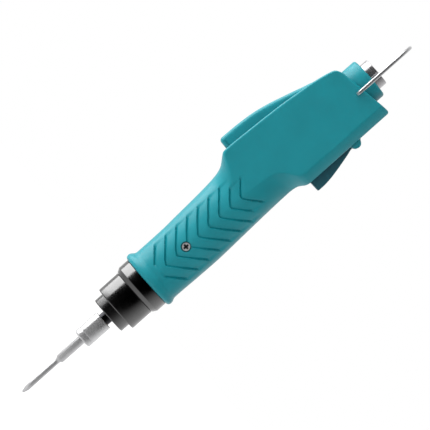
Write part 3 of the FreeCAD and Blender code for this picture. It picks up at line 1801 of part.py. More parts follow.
def make_levers():
    pivot = s.lever_pivot_at
    up = s.lever_pivot_up
    eye = s.lever_eye_dia / 2
    lever = new_body("start_lever_blank")
    drawing = new_sketch(lever, "start_lever_outline", "XZ")
    front = s.lever_front_at
    outline(
        drawing,
        [
            (-s.lever_root, front),
            (-s.lever_rise + s.lever_round, front + s.lever_lean),
            (-s.lever_rise, front + s.lever_lean + s.lever_round),
            (-s.lever_crest, s.lever_crest_at, s.lever_sweep),
            (-s.lever_fall, s.lever_fall_at),
            (-s.lever_meet, s.lever_meet_at, s.lever_tail_round),
            (-up - eye * 0.6, pivot + eye * 0.8, eye),
            (-up + eye * 0.6, pivot + eye * 0.8, eye),
            (-up + eye * 0.6, pivot - eye * 0.8),
            (-s.lever_root, pivot - eye * 1.5),
        ],
    )
    padded(lever, drawing, "start_lever_pad", s.lever_width, midplane=True)
    inside = new_sketch(lever, "start_lever_hollow_outline", "XZ")
    wall = s.lever_wall
    outline(
        inside,
        [
            (-s.lever_root + wall, front + wall),
            (-s.lever_rise + wall + s.lever_round, front + wall + s.lever_lean),
            (-s.lever_crest + wall, s.lever_crest_at),
            (-s.lever_fall + wall, s.lever_fall_at),
            (-s.lever_root - wall / 4, pivot - eye * 2.4),
            (-s.lever_root + wall, pivot - eye * 2.4),
        ],
    )
    pocketed(lever, inside, "start_lever_hollow", s.lever_width - wall * 2, midplane=True)
    doc.recompute()
    outer = rounded(
        "start_lever_rounded",
        lever,
        s.lever_edge,
        top_edges(
            s.lever_width,
            lambda box: box.XMin < -s.lever_meet.value - 0.2 and box.XMax < -s.lever_root.value,
        ),
    )
    adds = [outer]
    half = s.post_width / 2
    touch = s.start_switch_top + s.button_high + s.contact_gap
    at = pivot - s.switch_arm
    post_top = (-s.lever_fall + wall / 2, -half, at - half)
    adds.append(block("start_post", post_top, (-touch, half, at + half)))
    seat = s.spring_dia / 2 + s.loose * 3
    adds.append(
        block(
            "spring_pad",
            (-s.lever_fall - wall * 1.3, -seat, s.lever_spring_at - seat),
            (-s.lever_fall, seat, s.lever_spring_at + seat),
        )
    )
    lip_top = s.crown - s.wall + s.lever_play / 2
    adds.append(
        block(
            "stop_lips",
            (-lip_top, -lever_slot - s.lever_lip, s.lever_crest_at - s.lever_lip * 2),
            (-lip_top + s.lever_lip * 0.6, lever_slot + s.lever_lip, s.lever_crest_at + s.lever_lip),
        )
    )
    hole = across("start_lever_eye", s.pin_dia / 2 + s.slip, pivot, -up, -s.lever_width, s.lever_width)
    keep(cut("start_lever", fused("start_lever_form", adds), hole), "start_lever")
    reach = s.lever_pin_len / 2
    keep(across("start_lever_pin", s.pin_dia / 2, pivot, -up, -reach, reach), "start_lever_pin")

    pivot = s.knuckle_at
    up = s.knuckle_up
    eye = s.reverser_eye_dia / 2
    lever = new_body("reverser_blank")
    drawing = new_sketch(lever, "reverser_outline", "XZ")
    front = s.reverser_front_at
    outline(
        drawing,
        [
            (s.reverser_root, front),
            (s.reverser_root, pivot - eye * 2),
            (up - eye * 0.6, pivot - eye * 0.8),
            (up - eye * 0.6, pivot + eye * 0.8, eye),
            (up + eye * 0.6, pivot + eye * 0.8, eye),
            (up + eye * 0.6, pivot - eye * 0.8),
            (s.reverser_fall, s.reverser_fall_at, s.lever_sweep),
            (s.reverser_rise, s.reverser_crest_at),
            (s.reverser_rise, front + s.reverser_round),
            (s.reverser_rise - s.reverser_round, front),
        ],
    )
    padded(lever, drawing, "reverser_pad", s.reverser_width, midplane=True)
    inside = new_sketch(lever, "reverser_hollow_outline", "XZ")
    outline(
        inside,
        [
            (s.reverser_root - wall, front + wall),
            (s.reverser_root - wall, pivot - eye * 3.4),
            (s.reverser_fall - wall * 1.6, s.reverser_fall_at),
            (s.reverser_rise - wall, s.reverser_crest_at),
            (s.reverser_rise - wall, front + wall),
        ],
    )
    pocketed(lever, inside, "reverser_hollow", s.reverser_width - wall * 2, midplane=True)
    doc.recompute()
    outer = rounded(
        "reverser_rounded",
        lever,
        s.reverser_edge,
        top_edges(s.reverser_width, lambda box: box.XMin > (up + eye / 2).value),
    )
    touch = s.reverse_switch_top + s.reverse_button_high + s.contact_gap
    at = pivot - s.reverser_arm
    post = block("reverser_post", (touch, -half, at - half), (s.reverser_fall - wall / 2, half, at + half))
    lip_top = s.belly - s.wall - s.lever_play
    lips = block(
        "reverser_lips",
        (lip_top - s.wall / 2, -reverser_slot - wall, s.reverser_crest_at),
        (lip_top, reverser_slot + wall, s.reverser_crest_at + s.wall * 2),
    )
    hole = across("reverser_eye", s.pin_dia / 2 + s.slip, pivot, up, -s.reverser_width, s.reverser_width)
    keep(cut("direction_lever", fused("reverser_form", [outer, post, lips]), hole), "direction_lever")
    reach = s.reverser_pin_len / 2
    keep(across("direction_lever_pin", s.pin_dia / 2, pivot, up, -reach, reach), "direction_lever_pin")

    spring = coil(
        "lever_spring_line",
        s.spring_dia / 2,
        s.spring_wire,
        s.lever_spring_turns,
        s.spring_seat_up + s.face_gap,
        s.lever_fall - s.face_gap,
    )
    laid = group("lever_spring", [spring])
    stand(laid, 0, 0, s.lever_spring_at, Rotation(Vector(0, 1, 0), -90))
    tie(laid, "Placement.Base.x", -hang)
    keep(laid, "lever_spring")


# Switches, circuit board and capacitor.
def make_electrics():
    half = s.switch_wide / 2
    long = s.switch_len / 2
    wide = s.button_dia / 2
    for name, at, top, side, rise in (
        ("start_switch", s.lever_pivot_at - s.switch_arm, s.start_switch_top, -1, s.button_high),
        ("direction_switch", s.knuckle_at - s.reverser_arm, s.reverse_switch_top, 1, s.reverse_button_high),
    ):
        low = top - s.switch_high
        near, far = (low, top) if side > 0 else (-top, -low)
        case = block(
            f"{name}_case", (near, s.board_face - s.switch_wide, at - long), (far, s.board_face, at + long)
        )
        middle = s.board_face - half
        well = s.button_stem + rise
        start = top - well if side > 0 else -top - s.loose
        bore = rod(f"{name}_well", wide + s.slip, well + s.loose, start, middle, at, DOWN_X)
        keep(cut(name, case, bore), name)
        start = top - s.button_stem if side > 0 else -top - rise
        keep(
            rod(f"{name}_button", wide, s.button_stem + rise, start, middle, at, DOWN_X),
            f"{name}_button",
        )
    board = block(
        "board_blank",
        (-s.board_up, s.board_face + s.press, s.board_from),
        (s.board_low, s.board_face + s.board_thick - s.press, s.board_to),
    )
    holes = [
        across(
            f"board_hole_{number}",
            s.board_screw_dia / 2 + s.slip,
            along,
            up,
            s.board_face - s.wall,
            s.board_face + s.wall * 2,
        )
        for number, (along, up) in enumerate(board_screw_places())
    ]
    chip = block(
        "drive_chip",
        (-s.chip_size / 2, s.board_face - s.wall / 2, s.board_to - s.chip_size * 2),
        (s.chip_size / 2, s.board_face + s.loose, s.board_to - s.chip_size),
    )
    drilled = cut("drilled_board", board, fused("board_holes", holes))
    keep(fused("circuit_board", [drilled, chip]), "circuit_board")
    can = s.capacitor_dia / 2
    keep(
        rod(
            "capacitor",
            can,
            s.capacitor_len,
            0,
            s.board_face - can,
            s.board_from + s.wall,
        ),
        "capacitor",
    )


# The tail: collar, cord socket and bail.
def make_tail():
    outer = s.boss_dia / 2
    thread = s.socket_thread_dia / 2
    bore = thread + s.press
    room = s.socket_flange_dia / 2 + s.press
    seat = s.socket_flange_at + s.socket_flange_len + s.press
    collar = turned(
        "tail_collar",
        [
            (room, s.tail_wall_at - s.collar_flange_len),
            (s.collar_flange_dia / 2, s.tail_wall_at - s.collar_flange_len),
            (s.collar_flange_dia / 2, s.tail_wall_at - s.press),
            (s.collar_spigot_dia / 2, s.tail_wall_at - s.press),
            (s.collar_spigot_dia / 2, s.collar_seat_at + s.press),
            (outer, s.collar_seat_at + s.press),
            (outer, s.boss_end - s.boss_round, s.boss_round),
            (outer - s.boss_round, s.boss_end),
            (bore, s.boss_end),
            (bore, seat),
            (room, seat),
        ],
    )
    stand(collar, -s.boss_shift, 0, 0)
    keep(collar, "tail_collar")

    shell = s.socket_dia / 2
    hollow = thread - s.socket_wall
    mouth = s.boss_end + s.socket_out
    socket = turned(
        "socket_shell",
        [
            (hollow, s.socket_back_at),
            (thread, s.socket_back_at),
            (thread, s.socket_flange_at),
            (s.socket_flange_dia / 2, s.socket_flange_at),
            (s.socket_flange_dia / 2, s.socket_flange_at + s.socket_flange_len),
            (thread, s.socket_flange_at + s.socket_flange_len),
            (thread, s.boss_end + s.press),
            (shell, s.boss_end + s.press),
            (shell, mouth - s.sleeve_bevel),
            (shell - s.sleeve_bevel, mouth),
            (hollow, mouth),
        ],
    )
    stand(socket, -s.boss_shift, 0, 0)
    keep(socket, "socket_shell")
    nut = turned_ring(
        "socket_nut",
        thread + s.press,
        s.socket_flange_dia / 2 - s.slip,
        s.socket_flange_at - s.socket_flange_len - s.press,
        s.socket_flange_at - s.press,
    )
    stand(nut, -s.boss_shift, 0, 0)
    keep(nut, "socket_nut")

    insert = turned(
        "socket_insert",
        [
            (0, s.socket_back_at),
            (hollow - s.press, s.socket_back_at),
            (hollow - s.press, mouth - s.insert_sink),
            (0, mouth - s.insert_sink),
        ],
    )
    doc.recompute()
    drawing = new_sketch(insert, "contact_hole_outline", "XY", s.socket_back_at)
    circle(drawing, s.contact_circle / 2, 0, s.contact_dia / 2)
    hole = pocketed(insert, drawing, "contact_hole", mouth - s.socket_back_at, reverse=True)
    doc.recompute()
    round_pattern(insert, hole, "contact_holes", s.contact_count)
    stand(insert, -s.boss_shift, 0, 0)
    keep(insert, "socket_insert")
    contacts = []
    for number in range(number_of(s.contact_count)):
        angle = number * 2 * math.pi / s.contact_count.value
        turn = f"({number} * 360 / {s.contact_count.text})"
        circle_radius = s.contact_circle / 2
        x = Size(circle_radius.value * math.cos(angle), f"({circle_radius.text} * cos({turn}))")
        y = Size(circle_radius.value * math.sin(angle), f"({circle_radius.text} * sin({turn}))")
        start = s.socket_back_at - s.contact_tail
        length = mouth - s.insert_sink - s.sleeve_bevel - start
        pin = rod(f"contact_pin_{number}", s.contact_dia / 2 - s.press, length, x - s.boss_shift, y, start)
        bore = rod(
            f"contact_bore_{number}",
            s.contact_hole / 2,
            s.socket_out,
            x - s.boss_shift,
            y,
            start + length - s.socket_out + s.loose,
        )
        contacts.append(cut(f"contact_{number}", pin, bore))
    keep(group("socket_contacts", contacts), "socket_contacts")
    make_bail()


def make_bail():
    """One wire: two ends turned into the housing, two legs and a round top."""
    wire = s.bail_wire / 2
    half = s.bail_half
    end = half - s.bail_tail
    bend = s.bail_bend
    pivot = s.bail_pivot_at
    centre = pivot + s.bail_reach + wire - half
    bail = new_body("hanger_bail")
    path = new_sketch(bail, "bail_line", "YZ")
    points = [
        (-end, pivot, None),
        (-half + bend, pivot, -bend),
        (-half, pivot + bend, None),
        (-half, centre, -half),
        (half, centre, None),
        (half, pivot + bend, -bend),
        (half - bend, pivot, None),
        (end, pivot, None),
    ]
    open_line(path, points)
    section = new_sketch(bail, "bail_section", "XZ", end)
    circle(section, 0, pivot, wire)
    pipe = bail.newObject("PartDesign::AdditivePipe", "bail_wire")
    pipe.Profile = section
    pipe.Spine = (path, [])
    keep(bail, "hanger_bail")


def open_line(drawing, corners):
    """Draws an open line through corners (x, y, radius or None) in order."""
    ends = []
    for number in range(len(corners) - 1):
        here, after = corners[number], corners[number + 1]
        start = Vector(Size.of(here[0]).value, Size.of(here[1]).value, 0)
        end = Vector(Size.of(after[0]).value, Size.of(after[1]).value, 0)
        radius = here[2]
        if radius is None:
            drawing.addGeometry(Part.LineSegment(start, end), False)
            ends.append((1, 2))
            continue
        radius = Size.of(radius)
        drawing.addGeometry(arc_between(start, end, radius.value), False)
        ends.append((1, 2) if radius.value > 0 else (2, 1))
    for number in range(len(corners) - 2):
        drawing.addConstraint(
            Sketcher.Constraint(
                "Coincident", number, ends[number][1], number + 1, ends[number + 1][0]
            )
        )
    for number, corner in enumerate(corners):
        last = number == len(corners) - 1
        piece = number - 1 if last else number
        vertex = ends[piece][1] if last else ends[piece][0]
        for kind, size in (("DistanceX", Size.of(corner[0])), ("DistanceY", Size.of(corner[1]))):
            bound = drawing.addConstraint(
                Sketcher.Constraint(kind, -1, 1, piece, vertex, size.value)
            )
            tie(drawing, f"Constraints[{bound}]", size)
        if corner[2] is None or last:
            continue
        if corner[1] is corners[number + 1][1]:
            height = Size.of(corner[1])
            bound = drawing.addConstraint(
                Sketcher.Constraint("DistanceY", -1, 1, number, 3, height.value)
            )
            tie(drawing, f"Constraints[{bound}]", height)
            continue
        radius = Size.of(corner[2])
        radius = radius if radius.value > 0 else -radius
        bound = drawing.addConstraint(Sketcher.Constraint("Radius", number, radius.value))
        tie(drawing, f"Constraints[{bound}]", radius)
    return drawing


def finish():
    """Recomputes the model, tests every piece and writes the pieces out."""
    doc.recompute()
    for item in doc.Objects:
        if "Invalid" in item.State or "Error" in item.State:
            raise RuntimeError(f"{item.Name} ({item.Label}) is {item.State}")
    os.makedirs("parts", exist_ok=True)
    for item in pieces:
        if item.Shape.isNull() or not item.Shape.isValid():
            raise RuntimeError(f"{item.Label} has no sound shape")
    for item in pieces:
        item.Shape.exportStep(f"parts/{item.Label}.step")


make_bit()
make_spindle()
make_sleeve()
make_latch()
make_nut()
make_clutch()
make_barrel()
make_gears()
make_motor()
make_housing()
make_screws()
make_levers()
make_electrics()
make_tail()
finish()
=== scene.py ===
"""Looks of a slim electric torque screwdriver that hangs from a wire bail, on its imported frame.

Every length below is in millimetres until a mesh is made. `along` runs on the spindle axis from the
mouth of the grip towards the tail, `x` runs from the start lever's side to the direction lever's
side, and `y` runs across the plane in which the two shells meet.
"""

from __future__ import annotations

import json
import logging
import math
from dataclasses import dataclass, field
from enum import Enum
from typing import Sequence

import bmesh
import bpy
import numpy as np
from mathutils import Matrix

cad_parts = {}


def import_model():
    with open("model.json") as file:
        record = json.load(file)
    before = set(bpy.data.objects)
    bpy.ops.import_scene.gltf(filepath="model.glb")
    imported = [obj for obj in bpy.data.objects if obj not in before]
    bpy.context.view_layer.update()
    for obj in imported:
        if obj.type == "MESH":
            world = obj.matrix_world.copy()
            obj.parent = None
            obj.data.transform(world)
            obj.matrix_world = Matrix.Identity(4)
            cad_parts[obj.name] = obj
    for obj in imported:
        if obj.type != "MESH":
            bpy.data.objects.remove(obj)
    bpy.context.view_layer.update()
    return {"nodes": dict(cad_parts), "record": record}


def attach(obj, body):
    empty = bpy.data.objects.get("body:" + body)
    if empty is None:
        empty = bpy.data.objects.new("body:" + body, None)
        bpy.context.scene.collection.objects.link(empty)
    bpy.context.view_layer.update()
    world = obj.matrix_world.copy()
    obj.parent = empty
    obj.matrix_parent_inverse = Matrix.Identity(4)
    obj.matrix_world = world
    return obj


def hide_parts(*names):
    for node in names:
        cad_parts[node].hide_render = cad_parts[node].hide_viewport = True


log = logging.getLogger("screwdriver")

Array = np.ndarray
Triple = tuple[float, float, float]
Pairs = tuple[tuple[float, float], ...]
Corners = tuple[Triple, ...]

# A millimetre in metres, the hook's place on the axis, and how far the tail's middle is from it
MM = 0.001
HOOK = 183.6
TAIL_MIDDLE = -2.4

# In metres: how near points merge, and the radius of a shut end
WELD = 3e-6
SHUT = 1e-6

# What stands in for zero in a division, and the angle in degrees over which an edge is sharp
TINY = 1e-9
CREASE = 32.0

WHITE = (1.0, 1.0, 1.0, 1.0)


# Curves and grids
def placed(x: Array, y: Array, along: Array) -> Array:
    """Points in metres in the part's frame, whose origin is the hook's seat inside the bail.

    Args:
        x: places across, towards the direction lever.
        y: places across the parting plane.
        along: places on the axis, from the grip's mouth.

    Returns:
        An array with a last axis of three coordinates.
    """
    x, y, along = np.broadcast_arrays(x, y, along)
    return np.stack((x, y, along - HOOK), axis=-1) * MM


def eased(share: Array) -> Array:
    """Smooth step: 3 t^2 - 2 t^3 with t held between 0 and 1."""
    t = np.clip(share, 0.0, 1.0)
    return t * t * (3.0 - 2.0 * t)


def once_round(steps: int) -> Array:
    """The angles of even steps once round, as one row."""
    return np.linspace(0.0, 2 * math.pi, steps, endpoint=False)[None, :]


@dataclass(frozen=True)
class MeasuredLine:
    """A curve through measured points that never swings past them.

    It is a monotone cubic: the slope at a point is the weighted harmonic mean of the slopes beside
    it, or zero where they point opposite ways.
    """

    points: Pairs

    def __call__(self, at: Array) -> Array:
        """The curve's height at each place.

        Args:
            at: the places, held between the first point and the last.

        Returns:
            The heights.
        """
        x, y = np.array(self.points, dtype=float).T
        step = np.diff(x)
        rise = np.diff(y) / step
        slope = np.concatenate(([rise[0]], np.zeros(len(x) - 2), [rise[-1]]))
        alike = rise[:-1] * rise[1:] > 0
        before = np.where(alike, rise[:-1], 1.0)
        after = np.where(alike, rise[1:], 1.0)
        near = 2 * step[1:] + step[:-1]
        far = step[1:] + 2 * step[:-1]
        slope[1:-1] = np.where(alike, (near + far) / (near / before + far / after), 0.0)
        at = np.clip(at, x[0], x[-1])
        k = np.clip(np.searchsorted(x, at, side="right") - 1, 0, len(step) - 1)
        t = (at - x[k]) / step[k]
        return (
            y[k] * (1 + 2 * t) * (1 - t) ** 2
            + y[k + 1] * t * t * (3 - 2 * t)
            + step[k] * (slope[k] * t * (1 - t) ** 2 - slope[k + 1] * t * t * (1 - t))
        )


def rounded_line(corners: Corners, closed: bool, steps: int = 7) -> Array:
    """A line with each corner replaced by an arc that touches both of its sides.

    The arc runs between the points r / tan(a / 2) from the corner, for a corner of angle a, about
    the point r / sin(a / 2) along its bisector.

    Args:
        corners: (first, second, radius) of each corner.
        closed: whether the last corner joins the first. In an open line those two stay as they are.
        steps: points on each arc.

    Returns:
        The line's points, one row each.
    """
    table = np.array(corners, dtype=float)
    point, radius = table[:, :2], table[:, 2:3]
    back = np.roll(point, 1, axis=0) - point
    front = np.roll(point, -1, axis=0) - point
    back /= np.linalg.norm(back, axis=1, keepdims=True)
    front /= np.linalg.norm(front, axis=1, keepdims=True)
    straight = 0.9999
    cosine = np.clip((back * front).sum(axis=1, keepdims=True), -straight, straight)
    half = np.arccos(cosine) / 2
    inwards = back + front
    inwards /= np.maximum(np.linalg.norm(inwards, axis=1, keepdims=True), TINY)
    centre = point + inwards * radius / np.sin(half)
    first = point + back * radius / np.tan(half) - centre
    last = point + front * radius / np.tan(half) - centre
    turn = (math.pi - 2 * half)[:, :, None]
    share = np.linspace(0.0, 1.0, steps)[None, :, None]
    arcs = centre[:, None] + (
        np.sin((1 - share) * turn) * first[:, None] + np.sin(share * turn) * last[:, None]
    ) / np.sin(turn)
    if closed:
        return arcs.reshape(-1, 2)
    return np.concatenate((point[:1], arcs[1:-1].reshape(-1, 2), point[-1:]))


@dataclass
class Grid:
    """A net of points in metres, with quads between neighbours."""

    points: Array
    around_rows: bool = False
    around_columns: bool = False
    kept: Array | None = None

    def faces(self) -> Array:
        """The quads that are kept.

        Returns:
            The numbers of their four points, one row each.
        """
        rows, columns = self.points.shape[:2]
        i = np.arange(rows if self.around_rows else rows - 1)
        j = np.arange(columns if self.around_columns else columns - 1)
        row, column = np.meshgrid(i, j, indexing="ij")
        next_row, next_column = (row + 1) % rows, (column + 1) % columns
        quads = np.stack(
            (
                row * columns + column,
                row * columns + next_column,
                next_row * columns + next_column,
                next_row * columns + column,
            ),
            axis=-1,
        )
        return (quads if self.kept is None else quads[self.kept]).reshape(-1, 4)


def made(name: str, grids: Sequence[Grid]) -> bpy.types.Object:
    """One mesh object from several grids, with its doubles merged and its faces outwards.

    Args:
        name: the piece's name.
        grids: the nets that make it.

    Returns:
        The object, at the origin.
    """
    points, faces, count = [], [], 0
    for grid in grids:
        points.append(grid.points.reshape(-1, 3))
        faces.append(grid.faces() + count)
        count += len(points[-1])
    mesh = bpy.data.meshes.new(name)
    mesh.from_pydata(np.concatenate(points).tolist(), [], np.concatenate(faces).tolist())
    work = bmesh.new()
    work.from_mesh(mesh)
    bmesh.ops.remove_doubles(work, verts=work.verts, dist=WELD)
    bmesh.ops.recalc_face_normals(work, faces=work.faces)
    work.to_mesh(mesh)
    work.free()
    mesh.shade_smooth()
    mesh.set_sharp_from_angle(angle=math.radians(CREASE))
    item = bpy.data.objects.new(name, mesh)
    bpy.context.scene.collection.objects.link(item)
    return item


def lathe(corners: Corners, shift: float = 0.0, turns: int = 144) -> Grid:
    """A closed profile of (radius, along, corner radius) carried once round a line along the axis.

    Args:
        corners: the profile's corners.
        shift: how far the line lies from the axis, towards the direction lever.
        turns: steps round.

    Returns:
        The turned surface.
    """
    profile = rounded_line(corners, closed=True)
    angle = once_round(turns)
    radius, along = profile[:, :1], profile[:, 1:]
    points = placed(shift + radius * np.cos(angle), radius * np.sin(angle), along)
    return Grid(points, around_rows=True, around_columns=True)


def pipe(path: Array, radius: float, across: Array, sides: int = 28) -> Grid:
    """A round wire along a path that lies in one plane, with both of its ends closed.

    Each ring is radius * (cos a * across + sin a * (tangent x across)) about its point. The ring at
    each end of the path is so small that it welds shut, and a full one lies just inside it.

    Args:
        path: the points of the path in metres.
        radius: the wire's radius in metres.
        across: the unit vector square to the path's plane.
        sides: steps round.

    Returns:
        The wire's surface.
    """
    inside = 0.02
    front = path[:1] + (path[1:2] - path[:1]) * inside
    rear = path[-1:] + (path[-2:-1] - path[-1:]) * inside
    line = np.concatenate((path[:1], front, path[1:-1], rear, path[-1:]))
    reach = np.full(len(line), radius)
    reach[[0, -1]] = SHUT
    tangent = np.gradient(line, axis=0)
    tangent /= np.linalg.norm(tangent, axis=1, keepdims=True)
    other = np.cross(tangent, across)
    angle = once_round(sides)[:, :, None]
    ring = np.cos(angle) * across[None, None, :] + np.sin(angle) * other[:, None, :]
    return Grid(line[:, None, :] + reach[:, None, None] * ring, around_columns=True)


def bar(
    outline: Array, foot: float, half: float, edge: float, out: float, crown: float, middle: float = 0.0
) -> Grid:
    """A bar whose outline, seen from the side, is carried across its width with rounded long edges.

    Across the width each point sinks along the outline's normal by edge * (1 - sin a) where the edge
    rounds, and the whole is raised by crown * (1 - (y / half)^2). The sides run down from there to a
    level foot, and the underside and both ends are closed.

    Args:
        outline: (along, height) of the visible line.
        foot: the height of the underside.
        half: half the width.
        edge: the radius of the long edges.
        out: 1 where heights grow towards the direction lever's side, -1 where to the other.
        crown: how far the middle stands above the edges.
        middle: the bar's middle across.

    Returns:
        The bar's surface.
    """
    tangent = np.gradient(outline, axis=0)
    tangent /= np.linalg.norm(tangent, axis=1, keepdims=True)
    normal = np.stack((-tangent[:, 1], tangent[:, 0]), axis=1)
    edge_steps, flat_steps = 7, 9
    angle = np.linspace(0.0, math.pi / 2, edge_steps)
    flat = np.linspace(-half + edge, half - edge, flat_steps)[1:-1]
    falling = angle[::-1]
    sink = np.concatenate((edge * (1 - np.sin(angle)), 0 * flat, edge * (1 - np.sin(falling))))
    left, right = -half + edge * (1 - np.cos(angle)), half - edge * (1 - np.cos(falling))
    across = np.concatenate((left, flat, right))
    lift = crown * (1 - (across / half) ** 2) - sink
    body = outline[:, None, :] + lift[None, :, None] * normal[:, None, :]
    under = np.stack((np.maximum.accumulate(body[:, 0, 0]), np.full(len(body), foot)), axis=1)
    body = np.concatenate((under[:, None], body, under[:, None]), axis=1)
    across = np.concatenate(([-half], across, [half]))
    points = placed(out * body[:, :, 1], middle + across[None, :], body[:, :, 0])
    ends = np.repeat(points[[0, -1]].mean(axis=1, keepdims=True), points.shape[1], axis=1)
    return Grid(np.concatenate((ends[:1], points, ends[1:])), around_columns=True)


# Shader nodes
def feed(tree: bpy.types.NodeTree, node: bpy.types.Node, inputs: dict) -> None:
    """Gives inputs of a node their plain values, or links them to the sockets that feed them.

    Args:
        tree: the nodes that this one is among.
        node: the node.
        inputs: a value or a socket for each input, by the input's name or number.
    """
    for name, value in inputs.items():
        if isinstance(value, bpy.types.NodeSocket):
            tree.links.new(value, node.inputs[name])
        else:
            node.inputs[name].default_value = value


def added(
    tree: bpy.types.NodeTree, kind: str, inputs: dict | None = None, **options: object
) -> bpy.types.Node:
    """Adds a node, sets its options and feeds its inputs.

    Args:
        tree: the nodes that it goes among.
        kind: the node's type.
        inputs: a value or a socket for each input, by the input's name or number.
        options: the node's own options by name.

    Returns:
        The node.
    """
    node = tree.nodes.new(kind)
    for name, value in options.items():
        setattr(node, name, value)
    feed(tree, node, inputs or {})
    return node


# Finishes
class Grain(Enum):
    """The fine relief that a way of making leaves on a surface."""

    MOULDED = "moulded"
    TURNED = "turned"
    DRAWN = "drawn"
    SMOOTH = "smooth"
    SINTERED = "sintered"


@dataclass(frozen=True)
class Noise:
    """Noise for one output of a grain: its middle, from low to high, is spread over 0 to 1."""

    output: str
    scale: float
    detail: float
    low: float
    high: float


NOISES = (Noise("Tone", 70.0, 3.0, 0.3, 0.7), Noise("Wear", 420.0, 5.0, 0.25, 0.75))

# The grain itself: how fine it is across, along and in all, and how high
STRETCH = {
    Grain.MOULDED: (1.0, 1.0, 1.0),
    Grain.TURNED: (0.02, 0.02, 3.2),
    Grain.DRAWN: (2.4, 2.4, 0.05),
    Grain.SMOOTH: (0.35, 0.35, 0.35),
    Grain.SINTERED: (1.6, 1.6, 1.6),
}
GRAIN_SCALE = 2600.0
GRAIN_DETAIL = 2.0
GRAIN_HEIGHT = 0.06 * MM

# How far wear takes the roughness down and up, and the roughness of a clear coat
LESS_ROUGH = 0.86
MORE_ROUGH = 1.18
COAT_ROUGHNESS = 0.1


def grain_group(kind: Grain) -> bpy.types.NodeTree:
    """The shared node group of a grain: from a place it gives a tone, a wear and a relief.

    All three run from 0 to 1. Tone is broad noise, wear is noise of some millimetres, and relief is
    the grain itself: fine cells for moulded plastic, rings square to the axis for turned metal and
    streaks along it for drawn wire.

    Args:
        kind: the grain.

    Returns:
        The group, which is made only once.
    """
    name = f"{kind.value}_grain"
    if name in bpy.data.node_groups:
        return bpy.data.node_groups[name]
    group = bpy.data.node_groups.new(name, "ShaderNodeTree")
    group.interface.new_socket("Place", in_out="INPUT", socket_type="NodeSocketVector")
    for output in ("Tone", "Wear", "Relief"):
        group.interface.new_socket(output, in_out="OUTPUT", socket_type="NodeSocketFloat")
    inlet = group.nodes.new("NodeGroupInput")
    found = {}
    for noise in NOISES:
        inputs = {"Vector": inlet.outputs["Place"], "Scale": noise.scale, "Detail": noise.detail}
        texture = added(group, "ShaderNodeTexNoise", inputs)
        inputs = {"Value": texture.outputs["Fac"], "From Min": noise.low, "From Max": noise.high}
        found[noise.output] = added(group, "ShaderNodeMapRange", inputs).outputs["Result"]
    inputs = {"Vector": inlet.outputs["Place"], "Scale": STRETCH[kind]}
    stretched = added(group, "ShaderNodeMapping", inputs).outputs["Vector"]
    inputs = {"Vector": stretched, "Scale": GRAIN_SCALE, "Detail": GRAIN_DETAIL}
    found["Relief"] = added(group, "ShaderNodeTexNoise", inputs).outputs["Fac"]
    feed(group, group.nodes.new("NodeGroupOutput"), found)
    return group


@dataclass(frozen=True)
class Finish:
    """One material slot of the object and how its surface looks."""

    slot: str
    colour: Triple
    roughness: float
    metallic: float = 0.0
    grain: Grain = Grain.SMOOTH
    relief: float = 0.1
    mottle: float = 0.06
    coat: float = 0.0
    ior: float = 1.5

    def material(self) -> bpy.types.Material:
        """The procedural material, made from the shared node group of its grain.

        Returns:
            The material, named for its slot.
        """
        material = bpy.data.materials.new(self.slot)
        material.use_nodes = True
        tree = material.node_tree
        place = added(tree, "ShaderNodeTexCoord").outputs["Object"]
        group = grain_group(self.grain)
        grain = added(tree, "ShaderNodeGroup", {"Place": place}, node_tree=group).outputs
        colour = np.array(self.colour)
        darker = (*np.clip(colour * (1 - self.mottle), 0, 1), 1.0)
        paler = (*np.clip(colour * (1 + self.mottle), 0, 1), 1.0)
        inputs = {"Factor": grain["Tone"], "A": darker, "B": paler}
        tone = added(tree, "ShaderNodeMix", inputs, data_type="RGBA")
        most = min(self.roughness * MORE_ROUGH, 1.0)
        inputs = {"Value": grain["Wear"], "To Min": self.roughness * LESS_ROUGH, "To Max": most}
        gloss = added(tree, "ShaderNodeMapRange", inputs)
        inputs = {"Strength": self.relief, "Distance": GRAIN_HEIGHT, "Height": grain["Relief"]}
        bump = added(tree, "ShaderNodeBump", inputs)
        feed(
            tree,
            tree.nodes["Principled BSDF"],
            {
                "Base Color": tone.outputs["Result"],
                "Roughness": gloss.outputs["Result"],
                "Normal": bump.outputs["Normal"],
                "Metallic": self.metallic,
                "IOR": self.ior,
                "Coat Weight": self.coat,
                "Coat Roughness": COAT_ROUGHNESS,
            },
        )
        return material


